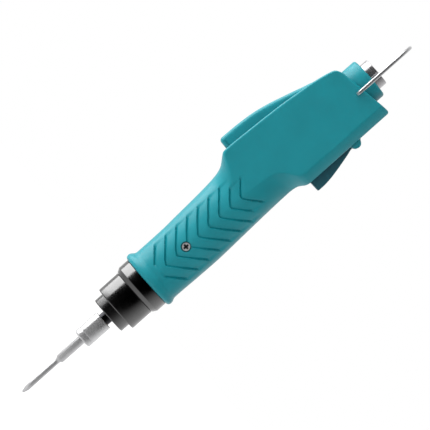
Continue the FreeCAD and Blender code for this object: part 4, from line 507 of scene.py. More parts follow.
FINISHES = (
    Finish("housing_plastic", (0.004, 0.257, 0.307), 0.36, 0.0, Grain.MOULDED, 0.22, 0.05, ior=1.42),
    # Painted shade: dark_lever_plastic is the housing's teal darkened for the shade that the direction
    # lever lies in below the belly.
    Finish("dark_lever_plastic", (0.007, 0.105, 0.14), 0.42, 0.0, Grain.MOULDED, 0.25, ior=1.48),
    Finish("screw_steel", (0.8, 0.78, 0.78), 0.35, 0.4, Grain.TURNED, 0.05),
    Finish("pin_steel", (0.55, 0.56, 0.57), 0.25, 1.0, Grain.TURNED, 0.2),
    Finish("spring_steel", (0.42, 0.43, 0.45), 0.3, 1.0, Grain.DRAWN, 0.2),
    Finish("wire_steel", (0.62, 0.62, 0.63), 0.26, 0.8, Grain.DRAWN, 0.04),
    Finish("plated_metal", (0.5, 0.49, 0.5), 0.24, 0.88, Grain.TURNED, 0.03),
    Finish("black_insulator", (0.012, 0.012, 0.014), 0.45, 0.0, Grain.MOULDED, 0.3),
    Finish("contact_brass", (0.72, 0.5, 0.2), 0.22, 1.0, Grain.TURNED, 0.1),
    Finish("board_laminate", (0.012, 0.09, 0.035), 0.38, coat=0.4),
    Finish("capacitor_sleeve", (0.012, 0.014, 0.03), 0.25),
    Finish("button_plastic", (0.5, 0.05, 0.02), 0.4, 0.0, Grain.MOULDED),
    Finish("blackened_metal", (0.2, 0.2, 0.2), 0.2, 1.0, Grain.TURNED, 0.03),
    Finish("spindle_steel", (0.05, 0.05, 0.055), 0.25, 1.0, Grain.TURNED, 0.15),
    Finish("bearing_bronze", (0.5, 0.28, 0.1), 0.4, 1.0, Grain.SINTERED, 0.4),
    Finish("gear_steel", (0.4, 0.41, 0.43), 0.33, 1.0, Grain.TURNED, 0.25),
    Finish("ball_steel", (0.7, 0.71, 0.73), 0.08, 1.0, relief=0.02),
    Finish("mount_aluminium", (0.7, 0.71, 0.73), 0.35, 1.0, Grain.TURNED, 0.3),
    Finish("magnet_ferrite", (0.05, 0.05, 0.052), 0.6, 0.0, Grain.SINTERED, 0.5),
    Finish("core_steel", (0.25, 0.25, 0.27), 0.4, 1.0, Grain.TURNED, 0.5),
    Finish("winding_copper", (0.62, 0.2, 0.07), 0.28, 1.0, Grain.DRAWN, 0.5),
    Finish("brush_carbon", (0.02, 0.02, 0.021), 0.55, 0.0, Grain.SINTERED, 0.5),
    Finish("sleeve_steel", (0.74, 0.74, 0.75), 0.24, 0.75, Grain.TURNED, 0.03),
    Finish("bit_steel", (0.72, 0.72, 0.73), 0.24, 0.78, Grain.TURNED, 0.04),
)


@dataclass
class Wardrobe:
    """Every finish, made once and handed out by slot."""

    materials: dict[str, bpy.types.Material] = field(default_factory=dict)

    def fill(self) -> None:
        """Makes each finish's material."""
        for finish in FINISHES:
            self.materials[finish.slot] = finish.material()

    def dress(self, item: bpy.types.Object, slot: str) -> None:
        """Gives a piece the material of one slot."""
        item.data.materials.clear()
        item.data.materials.append(self.materials[slot])

    def dress_nodes(self, nodes: dict[str, bpy.types.Object], record: dict) -> None:
        """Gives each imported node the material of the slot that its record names.

        Args:
            nodes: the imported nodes' objects by name.
            record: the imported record.
        """
        slots = {part["node"]: part["material_slot"] for part in record["subparts"]}
        for name, item in nodes.items():
            for place in item.material_slots:
                place.material = self.materials[slots[name]]


@dataclass
class Builder:
    """Adds finished pieces to the object and reports them."""

    wardrobe: Wardrobe

    def add(
        self, name: str, grids: Sequence[Grid], body: str, slot: str, replaces: Sequence[str] = ()
    ) -> None:
        """Makes a piece, dresses it, lets it ride on its body and hides what it stands for.

        Args:
            name: the piece's name.
            grids: the nets that make it.
            body: the body that it moves with.
            slot: the material slot of its finish.
            replaces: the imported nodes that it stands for.
        """
        item = made(name, grids)
        self.wardrobe.dress(item, slot)
        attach(item, body)
        if replaces:
            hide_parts(*replaces)
        log.info("%s: %d faces on %s", name, len(item.data.polygons), body)


# The housing
@dataclass(frozen=True)
class Slot:
    """A lever's slot: its ends, half its width, its depth and the side it opens to.

    The side is -1 for the start lever and 1 for the direction lever.
    """

    front: float
    rear: float
    half: float
    side: int
    depth: float = 5.0


@dataclass(frozen=True)
class Ribs:
    """The arrow-shaped ribs along both sides of the grip.

    Each rib is a crisp groove followed by a ramp that climbs back to the surface where the next one
    starts. Its line lies at first + slope * sqrt(t^2 + blunt), t being the distance from the line of
    the tips. The last ramp's depth falls as exp(-s / last_ramp), s being how far behind the line.
    The ribs reach equally far to both sides of their middle, the last two less far.
    """

    first: float = 12.12033
    pitch: float = 7.5
    count: int = 8
    slope: float = 0.905
    blunt: float = 2.0
    tips: float = 0.3
    groove: float = 0.38
    groove_width: float = 0.85
    ramp: float = 0.8
    last_ramp: float = 1.2
    middle: float = 0.9
    reach: float = 13.4
    last_reach: float = 9.6
    side_fade: float = 1.6
    start: float = 8.2
    start_fade: float = 1.2

    def depth(self, along: Array, x: Array) -> Array:
        """How deep the ribs cut.

        Args:
            along: the places on the axis.
            x: the places across.

        Returns:
            The depth at each place, which fades out at the ribs' ends and at the mouth's lip.
        """
        run = along - self.first - self.slope * np.sqrt((x - self.tips) ** 2 + self.blunt)
        number = np.floor(run / self.pitch)
        past = run - number * self.pitch
        last = number >= self.count - 1
        ramp = np.where(last, np.exp(-past / self.last_ramp), 1 - past / self.pitch)
        depth = self.groove * np.exp(-((past / self.groove_width) ** 2)) + self.ramp * ramp
        reach = np.where(number >= self.count - 2, self.last_reach, self.reach)
        ends = eased((reach - np.abs(x - self.middle)) / self.side_fade)
        shown = (number >= -1) & (number < self.count) & (along > self.start)
        return np.where(shown, depth * ends * eased((along - self.start) / self.start_fade), 0.0)


@dataclass(frozen=True)
class Skin:
    """A shell's outer side: x, y and along of a net of points, and its rows' places on the axis.

    The places are infinite for the rows of the mouth's bore and of the rear face.
    """

    x: Array
    y: Array
    along: Array
    place: Array


@dataclass
class Housing:
    """The two shells: a ribbed round grip that swells into a flat sided head.

    Each section is a rectangle with its own corner radii above and below, so that the grip, whose
    radii equal half its width, is round. Each row of points leans with the tail's slanted face.
    """

    crown: MeasuredLine = MeasuredLine(
        (
            (0.0, 15.7), (0.4, 16.35), (1.0, 16.8), (2.1, 17.0), (3.2, 16.75), (4.2, 16.1),
            (5.2, 15.35), (6.4, 15.0), (15.0, 15.0), (23.6, 15.07), (34.0, 15.6), (44.6, 16.1),
            (55.0, 16.75), (60.4, 17.25), (65.6, 18.15), (68.8, 19.4), (70.9, 21.0), (73.5, 23.2),
            (74.9, 24.1), (76.7, 24.42), (97.1, 23.6), (112.9, 22.6), (123.4, 21.55), (133.9, 20.4),
            (144.6, 18.3), (146.4, 17.7), (147.6, 16.8), (148.5, 15.4), (149.0, 14.2),
        )
    )
    belly: MeasuredLine = MeasuredLine(
        (
            (0.0, 15.7), (0.4, 16.35), (1.0, 16.8), (2.1, 17.0), (3.2, 16.8), (4.2, 16.35),
            (5.2, 16.0), (6.4, 15.9), (23.6, 16.2), (34.0, 16.3), (39.0, 16.2), (50.0, 15.8),
            (60.0, 15.4), (71.0, 15.0), (81.0, 14.72), (86.6, 14.65), (89.3, 14.8), (91.9, 15.3),
            (94.0, 16.4), (95.6, 17.5), (96.9, 18.0), (98.2, 18.16), (153.0, 18.16),
        )
    )
    girth: MeasuredLine = MeasuredLine(
        ((56.0, 16.2), (76.0, 16.6), (118.0, 16.6), (146.0, 14.6), (153.0, 14.6))
    )
    ear: MeasuredLine = MeasuredLine(
        (
            (125.3, 17.6), (126.2, 18.15), (126.9, 18.9), (127.6, 20.1), (128.6, 21.0), (129.9, 21.3),
            (131.2, 21.0), (132.2, 20.1), (132.9, 18.9), (133.6, 18.15), (134.5, 17.6),
        )
    )
    ribs: Ribs = Ribs()

    # Places along the axis where the section changes
    round_end: float = 50.0
    shoulder_foot: float = 56.0
    brow: float = 76.0
    corner_start: float = 84.5
    step_end: float = 98.0
    corner_end: float = 100.0
    lean_end: float = 106.0
    tail_start: float = 118.0
    tail: float = 149.0

    # Corners: their radii, and the angles in degrees at which the belly's leaves and ends
    rim: float = 1.2
    least_corner: float = 0.4
    side_flat: float = 0.02
    shoulder_powers: tuple[float, float] = (2.6, 1.4)
    round_corner: float = 14.3
    belly_corner: float = 5.4
    first_fall: float = 0.3
    belly_lean: float = 38.0
    belly_stop: float = 30.0

    # The tail's slanted face and the mouth
    tail_lean: float = 4.9 / 32.4
    tail_crown: float = 14.2
    rear_round: float = 1.7
    rear_ring: float = 0.6
    mouth_bore: float = 12.7
    mouth_depth: float = 5.0
    mouth_edge: float = 0.15

    # The groove at the parting plane and the edge that goes in from it
    seam: float = 0.05
    seam_width: float = 0.3
    seam_sink: float = 0.14
    seam_inner: float = 0.94

    # The lever slots and the ear beside the direction lever
    start_slot: Slot = Slot(76.62, 139.4, 6.8, -1)
    turn_slot: Slot = Slot(98.2, 130.7, 5.2, 1)
    ear_foot: float = 17.0
    ear_half: float = 1.5
    ear_edge: float = 0.4
    ear_middle: float = 6.7

    # Screw wells: their places, radii and depth, and (distance from the rim, drop) of their edge
    grip_screw: tuple[float, float] = (27.6, 0.0)
    screw_room: float = 2.75
    case_screws: Pairs = ((83.2, 8.6), (140.4, 12.2))
    case_room: float = 2.5
    well_margin: float = 0.5
    well_depth: float = 2.2
    well_edge: Pairs = (
        (1.3, -0.012), (0.9, -0.012), (0.5, -0.012), (0.25, -0.01), (0.12, 0.0), (0.03, 0.06),
        (0.0, 0.16),
    )

    # The net: (start, spacing) of the rows, the columns, and the worth of a turn in mm a radian
    spacing: Pairs = ((0.0, 0.22), (7.0, 0.34), (76.0, 0.7), (98.0, 1.6), (144.0, 0.25))
    fine: int = 60
    slot_steps: int = 12
    side_steps: int = 90
    rear_steps: int = 8
    well_turns: int = 72
    ear_steps: int = 60
    turn_worth: float = 1.6

    def rows(self) -> Array:
        """Places of the rows: close in the lip and the ribs, wider in the head, exact at the slots.

        Returns:
            The rising places.
        """
        end = self.tail - self.rear_round
        stops = (*(start for start, _ in self.spacing[1:]), end)
        runs = [np.arange(start, stop, step) for (start, step), stop in zip(self.spacing, stops)]
        slots = (self.start_slot, self.turn_slot)
        marks = [place for slot in slots for place in (slot.front, slot.rear)]
        return np.unique(np.round(np.concatenate((*runs, marks, [end])), 4))

    def radii(self, along: Array, half: Array) -> tuple[Array, Array]:
        """The corner radii above and below at each row.

        Args:
            along: the rows' places.
            half: half the width at each row.

        Returns:
            The upper radius, which falls as (1 - t^2.6)^1.4 of the way up the shoulder, and the lower
            one, which falls to the belly's corner in a straight part and an eased part.
        """
        share = np.clip((along - self.shoulder_foot) / (self.brow - self.shoulder_foot), 0, 1)
        inner, outer = self.shoulder_powers
        upper = self.rim + (half - self.side_flat - self.rim) * (1 - share**inner) ** outer
        fall = np.clip((along - self.brow) / (self.step_end - self.brow), 0, 1)
        drop = eased((along - self.corner_start) / (self.corner_end - self.corner_start))
        fallen = self.first_fall * fall + (1 - self.first_fall) * drop
        lower = (half - self.side_flat) + (self.round_corner - half) * share
        return upper, lower - (self.round_corner - self.belly_corner) * fallen

    def lean(self, along: Array) -> tuple[Array, Array]:
        """The angles at which the belly's corner leaves the flat side and meets the belly.

        Args:
            along: the rows' places.

        Returns:
            Both angles: 0 and 90 degrees in the round grip, nearer each other in the head.
        """
        share = eased((along - self.shoulder_foot) / (self.lean_end - self.shoulder_foot))
        return np.radians(self.belly_lean * share), np.radians(90.0 - self.belly_stop * share)

    def half_width(self, along: Array) -> Array:
        """Half the width: the grip is round, so it is half its height there.

        Args:
            along: the places on the axis.

        Returns:
            Half the width at each place, eased from the grip's to the head's measured girth.
        """
        round_half = (self.crown(along) + self.belly(along)) / 2
        mix = eased((along - self.round_end) / (self.shoulder_foot - self.round_end))
        return round_half * (1 - mix) + self.girth(along) * mix

    def side_height(self, along: Array, x: Array) -> Array:
        """How far the side lies from the parting plane, ribs included.

        Args:
            along: the places on the axis.
            x: the places across.

        Returns:
            The height at each place: half the width, less what the two corners fall away.
        """
        top, low, half = self.crown(along), self.belly(along), self.half_width(along)
        upper, lower = self.radii(along, half)
        above = np.clip(upper - top - x, 0, upper)
        below = np.clip(x - (low - lower), 0, lower) / lower
        first, last = self.lean(along)
        height = half - upper + np.sqrt(upper**2 - above**2)
        turned = np.arcsin(np.clip(np.sin(first) + below * (np.sin(last) - np.sin(first)), -1, 1))
        drop = lower / (np.sin(last) - np.sin(first)) * (np.cos(first) - np.cos(turned))
        return height - drop - self.ribs.depth(along, x)

    def section(
        self, top: Array, low: Array, half: Array, upper: Array, lower: Array, first: Array, last: Array
    ) -> tuple[Array, Array]:
        """Points from the crown's middle round one side to the belly's middle, for each row.

        The outline is a flat, a quarter of a circle of the upper radius, the side, an arc whose
        radius is lower / (sin last - sin first), and a flat.

        Args:
            top: how far the crown lies above the axis, a column vector, as are the others.
            low: how far the belly lies below it.
            half: half the width.
            upper: the corner radius above.
            lower: the corner's height below.
            first: the angle at which the lower corner leaves the side.
            last: the angle at which it meets the belly.

        Returns:
            x and y of the points, one row each.
        """
        share = np.linspace(0.0, 1.0, self.fine)[None, :]
        turn = share * math.pi / 2
        bend = first + share * (last - first)
        radius = lower / (np.sin(last) - np.sin(first))
        depth = radius * (np.cos(first) - np.cos(last))
        still = 0 * share
        x = (
            -top + still,
            -top + upper * (1 - np.cos(turn)),
            -top + upper + (low - lower + top - upper) * share,
            low - lower + radius * (np.sin(bend) - np.sin(first)),
            low + still,
        )
        y = (
            (half - upper) * share,
            half - upper + upper * np.sin(turn),
            half + still,
            half - radius * (np.cos(first) - np.cos(bend)),
            (half - depth) * (1 - share),
        )
        angle = (still, turn, still + math.pi / 2, math.pi / 2 + turn, still + math.pi)
        return self.spread(*(np.concatenate(parts, axis=1) for parts in (x, y, angle)))

    def spread(self, x: Array, y: Array, angle: Array) -> tuple[Array, Array]:
        """Picks the columns of the net from finely drawn outlines.

        Every row is walked by its length plus turn_worth for each radian, so that a tight corner gets
        its share of points, and two columns are held at the edges of the lever slots.

        Args:
            x: the outlines' places across, one row each.
            y: their places from the parting plane.
            angle: how far the outline has turned at each point.

        Returns:
            x and y of the columns.
        """
        steps = np.hypot(np.diff(x, axis=1), np.diff(y, axis=1))
        length = steps + self.turn_worth * np.abs(np.diff(angle, axis=1))
        walked = np.concatenate((np.zeros((len(x), 1)), np.cumsum(length, axis=1)), axis=1)
        split = 2 * self.fine
        first = self.looked_up(self.start_slot.half, y[:, :split], walked[:, :split])
        last = self.looked_up(-self.turn_slot.half, -y[:, split:], walked[:, split:])
        above = np.linspace(0, 1, self.slot_steps + 1)[None, :-1]
        beside = np.linspace(0, 1, self.side_steps + 1)[None, :-1]
        below = np.linspace(0, 1, self.slot_steps)[None, :]
        parts = (first * above, first + (last - first) * beside, last + (walked[:, -1:] - last) * below)
        scale = walked.max() + 1.0
        row = np.arange(len(x))[:, None]
        stops = np.concatenate(parts, axis=1) + row * scale
        walked = walked + row * scale
        columns = [np.interp(stops.ravel(), walked.ravel(), line.ravel()) for line in (x, y)]
        return columns[0].reshape(stops.shape), columns[1].reshape(stops.shape)

    @staticmethod
    def looked_up(value: float, rising: Array, wanted: Array) -> Array:
        """Looks a line up in each row where another, rising line passes a value.

        Args:
            value: the value passed.
            rising: the rising line, one row each.
            wanted: the line that is looked up.

        Returns:
            The wanted line's value in each row, as a column.
        """
        apart = 1000.0
        row = np.arange(len(rising))[:, None] * apart
        grown = np.maximum.accumulate(rising, axis=1)
        found = np.interp((value + row).ravel(), (grown + row).ravel(), wanted.ravel())
        return found[:, None]

    def skin(self) -> Skin:
        """The outer skin of the shell on the positive side.

        Where the ribs cut, each point moves inwards by their depth, square to its row's outline.

        Returns:
            The skin with the mouth and the rear face closed.
        """
        rows = self.rows()
        quarter = np.linspace(0.0, math.pi / 2, self.rear_steps)[1:]
        place = np.concatenate((rows, self.tail - self.rear_round * (1 - np.sin(quarter))))
        inset = np.concatenate((np.zeros(len(rows)), self.rear_round * (1 - np.cos(quarter))))
        top, low = self.crown(place) - inset, self.belly(place) - inset
        half = self.half_width(place) - inset
        upper, lower = self.radii(place, half)
        upper = np.where(place > self.brow, np.maximum(upper, self.least_corner), upper)
        measures = (top, low, half, upper, lower - inset, *self.lean(place))
        x, y = self.section(*(measure[:, None] for measure in measures))
        lean = self.tail_lean * eased((place - self.tail_start) / (self.tail - self.tail_start))
        along = place[:, None] + lean[:, None] * (x + self.tail_crown)
        depth = self.ribs.depth(along, x)
        step_x, step_y = np.gradient(x, axis=1), np.gradient(y, axis=1)
        size = np.maximum(np.hypot(step_x, step_y), TINY)
        x, y = x + depth * step_y / size, y - depth * step_x / size
        return self.closed(Skin(x, y, along, place))

    def closed(self, skin: Skin) -> Skin:
        """Adds the mouth's bore and face in front and the flat rear face behind.

        Args:
            skin: the skin from the mouth's lip to the tail's edge.

        Returns:
            The skin with the rows added.
        """
        angle = np.arctan2(skin.y[:1], -skin.x[:1])
        bore_x, bore_y = -self.mouth_bore * np.cos(angle), self.mouth_bore * np.sin(angle)
        wider = 1 + self.mouth_edge / self.mouth_bore
        steps = (self.mouth_depth, self.mouth_edge, 0.0)
        bore_along = [np.full_like(bore_x, step) for step in steps]
        shares = (self.rear_ring, 0.0)
        rear_x = [share * skin.x[-1:] + (1 - share) * TAIL_MIDDLE for share in shares]
        rear_y = [share * skin.y[-1:] for share in shares]
        rear_along = [self.tail + self.tail_lean * (ring + self.tail_crown) for ring in rear_x]
        before, after = np.full(len(steps), -math.inf), np.full(len(shares), math.inf)
        return Skin(
            np.concatenate((bore_x, bore_x, bore_x * wider, skin.x, *rear_x)),
            np.concatenate((bore_y, bore_y, bore_y * wider, skin.y, *rear_y)),
            np.concatenate((*bore_along, skin.along, *rear_along)),
            np.concatenate((before, skin.place, after)),
        )

    def grooved(self) -> Skin:
        """The skin with its edges at the parting plane sunk by seam_sink * (1 - t)^2.

        Here t is how far a point lies from the plane, as a share of seam_width.

        Returns:
            The skin, which stops short of the plane by seam.
        """
        skin = self.skin()
        edge = np.clip((skin.y - self.seam) / self.seam_width, 0, 1)
        sink = self.seam_sink * (1 - edge) ** 2 * np.isfinite(skin.place)[:, None]
        x, y = skin.x - sink * np.sign(skin.x), np.maximum(skin.y, self.seam)
        return Skin(x, y, skin.along, skin.place)

    def slot_columns(self, slot: Slot) -> slice:
        """A slot's columns: of points in the skin, and of quads in the skin with its seam edges."""
        return slice(0, self.slot_steps + 1) if slot.side < 0 else slice(-self.slot_steps, None)

    def shell(self, side: float, holes: Sequence[Triple]) -> list[Grid]:
        """One shell: its skin, the inward edge at the parting plane, its slots, wells and ear.

        Args:
            side: -1 for the near shell, 1 for the far one.
            holes: place along, place across and radius of each screw well.

        Returns:
            The shell's grids.
        """
        skin = self.grooved()
        x, y, along, place = skin.x, skin.y, skin.along, skin.place
        inner = self.seam_inner
        seam_x = np.concatenate((x[:, :1] * inner, x, x[:, -1:] * inner), axis=1)
        seam_y = np.concatenate((0 * y[:, :1], y, 0 * y[:, -1:]), axis=1)
        seam_along = np.concatenate((along[:, :1], along, along[:, -1:]), axis=1)
        kept = np.ones((len(place) - 1, seam_x.shape[1] - 1), dtype=bool)
        middle = (place[:-1] + place[1:]) / 2
        for slot in (self.start_slot, self.turn_slot):
            kept[(middle > slot.front) & (middle < slot.rear), self.slot_columns(slot)] = False
        centre_x = (seam_x[:-1, :-1] + seam_x[1:, 1:]) / 2
        centre_along = (seam_along[:-1, :-1] + seam_along[1:, 1:]) / 2
        for at, across, radius in holes:
            away = np.hypot(centre_along - at, centre_x - across)
            kept &= away > radius + self.well_margin
        outside = Grid(placed(seam_x, side * seam_y, seam_along), kept=kept)
        wells = [self.well(*hole, side) for hole in holes]
        return [outside, *self.slot_walls(skin, side), *wells, self.knuckle(side)]

    def slot_walls(self, skin: Skin, side: float) -> list[Grid]:
        """Walls that go straight in from the edges of both lever slots.

        Args:
            skin: the shell's skin.
            side: -1 for the near shell, 1 for the far one.

        Returns:
            Three walls for each slot: beside the lever, in front of it and behind it.
        """
        grids = []
        for slot in (self.start_slot, self.turn_slot):
            ends = (slot.front, slot.rear)
            first, last = (int(np.argmin(np.abs(skin.place - end))) for end in ends)
            columns = self.slot_columns(slot)
            beside = (slice(first, last + 1), -slot.side * self.slot_steps)
            inwards = np.array((0.0, -slot.side * slot.depth))[:, None]
            for edge in (beside, (first, columns), (last, columns)):
                x, y = skin.x[edge] + inwards, side * skin.y[edge]
                grids.append(Grid(placed(x, y, skin.along[edge])))
        return grids

    def well(self, at: float, across: float, radius: float, side: float) -> Grid:
        """A screw's well: a round patch on the skin whose middle drops to a flat floor.

        Args:
            at: the well's place on the axis.
            across: its place across.
            radius: its radius.
            side: -1 for the near shell, 1 for the far one.

        Returns:
            The patch, its wall and its floor.
        """
        edge = np.array(self.well_edge)
        reach = np.concatenate((radius + edge[:, :1], [[radius], [0.0]]))
        angle = once_round(self.well_turns)
        along = at + reach * np.cos(angle)
        x = across + reach * np.sin(angle)
        height = self.side_height(along, x)
        floor = np.full((2, height.shape[1]), height.min() - self.well_depth)
        height = np.concatenate((height[:-2] - edge[:, 1:], floor))
        return Grid(placed(x, side * height, along), around_columns=True)

    def knuckle(self, side: float) -> Grid:
        """The ear that carries the direction lever's pin, beside its slot.

        Args:
            side: -1 for the near shell, 1 for the far one.

        Returns:
            The ear's surface.
        """
        along = np.linspace(self.ear.points[0][0], self.ear.points[-1][0], self.ear_steps)
        outline = np.stack((along, self.ear(along)), axis=1)
        middle = side * self.ear_middle
        return bar(outline, self.ear_foot, self.ear_half, self.ear_edge, 1.0, 0.0, middle)

    def build(self, builder: Builder) -> None:
        """Makes both shells with their ribs, slots, wells and ears.

        Args:
            builder: what adds the pieces.
        """
        near = [(*self.grip_screw, self.screw_room)]
        far = near + [(*place, self.case_room) for place in self.case_screws]
        for name, side, holes in (("shell_near", -1.0, near), ("shell_far", 1.0, far)):
            grids = self.shell(side, holes)
            builder.add(f"{name}_skin", grids, "housing", "housing_plastic", [name])


# The levers
@dataclass(frozen=True)
class Lever:
    """A lever: a smooth bar in its slot, with a rounded nose and a measured top.

    Its heights grow to the side that it lies on, -1 for the start lever's and 1 for the other.
    """

    node: str
    finish: str
    side: float
    top: MeasuredLine
    front: tuple[float, float]
    nose: float
    nose_round: float
    foot: float
    half: float
    edge: float
    crown: float
    nose_lift: float = 0.02
    nose_end: float = 0.6
    top_start: float = 0.9
    nose_steps: int = 12
    top_steps: int = 110

    def outline(self) -> Array:
        """The side line: straight up the front, round the nose, then along the measured top.

        Returns:
            (along, height) of its points.
        """
        (start, height), (end, _) = self.top.points[0], self.top.points[-1]
        corners = (
            (*self.front, 0.0),
            (self.nose, height + self.nose_lift, self.nose_round),
            (start + self.nose_end, height, 0.0),
        )
        along = np.linspace(start + self.top_start, end, self.top_steps)
        nose = rounded_line(corners, closed=False, steps=self.nose_steps)
        return np.concatenate((nose, np.stack((along, self.top(along)), axis=1)))

    def build(self, builder: Builder) -> None:
        """Adds the lever's skin, which moves with its body of the same name as its node."""
        grid = bar(self.outline(), self.foot, self.half, self.edge, self.side, self.crown)
        builder.add(f"{self.node}_skin", [grid], self.node, self.finish, [self.node])


START_LEVER = Lever(
    node="start_lever",
    finish="housing_plastic",
    side=-1.0,
    top=MeasuredLine(
        (
            (79.2, 30.34), (86.6, 30.2), (97.1, 29.5), (102.4, 28.8), (107.6, 27.75), (112.9, 26.45),
            (118.1, 25.0), (123.4, 23.5), (128.6, 21.95), (133.5, 20.6), (136.0, 19.55), (138.2, 18.2),
            (139.0, 16.9),
        )
    ),
    front=(77.3, 19.5),
    nose=77.85,
    nose_round=1.9,
    foot=16.0,
    half=6.5,
    edge=2.2,
    crown=0.15,
)

DIRECTION_LEVER = Lever(
    node="direction_lever",
    # Its darker finish paints the shade that the lever lies in below the belly.
    finish="dark_lever_plastic",
    side=1.0,
    top=MeasuredLine(
        (
            (99.4, 24.15), (102.4, 24.15), (107.6, 23.65), (112.9, 22.65), (118.1, 21.45),
            (123.4, 20.1), (125.4, 19.5), (127.0, 19.3), (127.9, 20.0), (128.9, 20.6),
            (129.9, 20.75), (130.9, 20.6), (131.7, 20.0), (132.2, 19.2),
        )
    ),
    front=(98.55, 16.5),
    nose=98.75,
    nose_round=0.65,
    foot=15.0,
    half=4.9,
    edge=0.8,
    crown=0.0,
)


# Nose, tail, screws and bit
@dataclass
class Nose:
    """The round metal parts in front: barrel, torque nut and quick-change sleeve."""

    barrel: Corners = (
        (9.7, -20.3, 0.1), (12.05, -20.3, 0.2), (12.05, -8.35, 0.1), (13.8, -8.35, 0.35),
        (15.1, -6.1, 0.5), (15.1, -0.12, 0.25), (12.5, -0.1, 0.1), (12.5, 6.0, 0.1), (9.7, 6.0, 0.1),
    )
    nut: Corners = (
        (5.05, -27.3, 0.2), (10.65, -27.3, 0.55), (10.65, -21.9, 0.12), (13.45, -21.9, 0.6),
        (13.45, -8.55, 0.35), (12.25, -8.55, 0.1), (12.25, -20.6, 0.1), (5.05, -23.4, 0.1),
    )
    sleeve: Corners = (
        (2.65, -45.9, 0.15), (3.9, -46.0, 0.2), (5.5, -45.4, 0.5), (5.5, -42.6, 0.12),
        (5.32, -42.5, 0.05), (5.32, -42.1, 0.05), (5.5, -42.0, 0.12), (5.5, -30.55, 0.45),
        (3.62, -30.5, 0.2), (3.62, -45.0, 0.1),
    )

    def build(self, builder: Builder) -> None:
        """Makes the three turned parts.

        Args:
            builder: what adds the pieces.
        """
        barrel, nut, sleeve = lathe(self.barrel), lathe(self.nut), lathe(self.sleeve, turns=96)
        builder.add("barrel_collar", [barrel], "housing", "blackened_metal", ["clutch_barrel"])
        builder.add("stepped_nut", [nut], "torque_nut", "blackened_metal", ["torque_nut"])
        builder.add("pull_sleeve", [sleeve], "bit_sleeve", "sleeve_steel", ["bit_sleeve"])


@dataclass
class Tail:
    """The tail: collar, cord socket and wire bail."""

    collar: Corners = (
        (7.72, 149.4, 0.1), (11.85, 149.3, 0.1), (11.85, 158.4, 1.3), (7.72, 158.4, 0.3),
    )
    socket: Corners = (
        (6.85, 146.8, 0.1), (7.68, 146.8, 0.1), (7.68, 158.44, 0.02), (8.0, 158.44, 0.05),
        (8.0, 163.3, 0.5), (6.85, 163.3, 0.3),
    )
    wire: float = 1.0
    pivot: float = 147.8
    foot: float = 4.0
    bend: float = 1.4
    half: float = 16.3
    leg_start: float = 152.0
    leg_gap: float = 1.0
    bend_steps: int = 10
    leg_steps: int = 12
    top_steps: int = 61

    def bail_path(self) -> Array:
        """The bent wire's middle line: out of one pivot, up its leg, round the top and back down.

        Returns:
            The line's points in metres.
        """
        centre = HOOK + self.wire - self.half
        corners = (
            (self.half - self.foot, self.pivot, 0.0),
            (self.half, self.pivot, self.bend),
            (self.half, centre, 0.0),
        )
        foot = rounded_line(corners, closed=False, steps=self.bend_steps)[:-1]
        height = np.linspace(self.leg_start, centre - self.leg_gap, self.leg_steps)
        leg = np.concatenate((foot, np.stack((0 * height + self.half, height), axis=1)))
        arc = np.linspace(0.0, math.pi, self.top_steps)
        top = np.stack((self.half * np.cos(arc), centre + self.half * np.sin(arc)), axis=1)
        line = np.concatenate((leg, top, leg[::-1] * np.array((-1.0, 1.0))))
        return placed(0.0, line[:, 0], line[:, 1])

    def build(self, builder: Builder) -> None:
        """Makes the collar, the socket's tube and the bail.

        Args:
            builder: what adds the pieces.
        """
        collar, socket = lathe(self.collar, TAIL_MIDDLE), lathe(self.socket, TAIL_MIDDLE)
        wire = pipe(self.bail_path(), self.wire * MM, np.array((1.0, 0.0, 0.0)))
        builder.add("tail_ring", [collar], "housing", "housing_plastic", ["tail_collar"])
        builder.add("socket_tube", [socket], "housing", "plated_metal", ["socket_shell"])
        builder.add("bail_wire", [wire], "bail", "wire_steel", ["hanger_bail"])


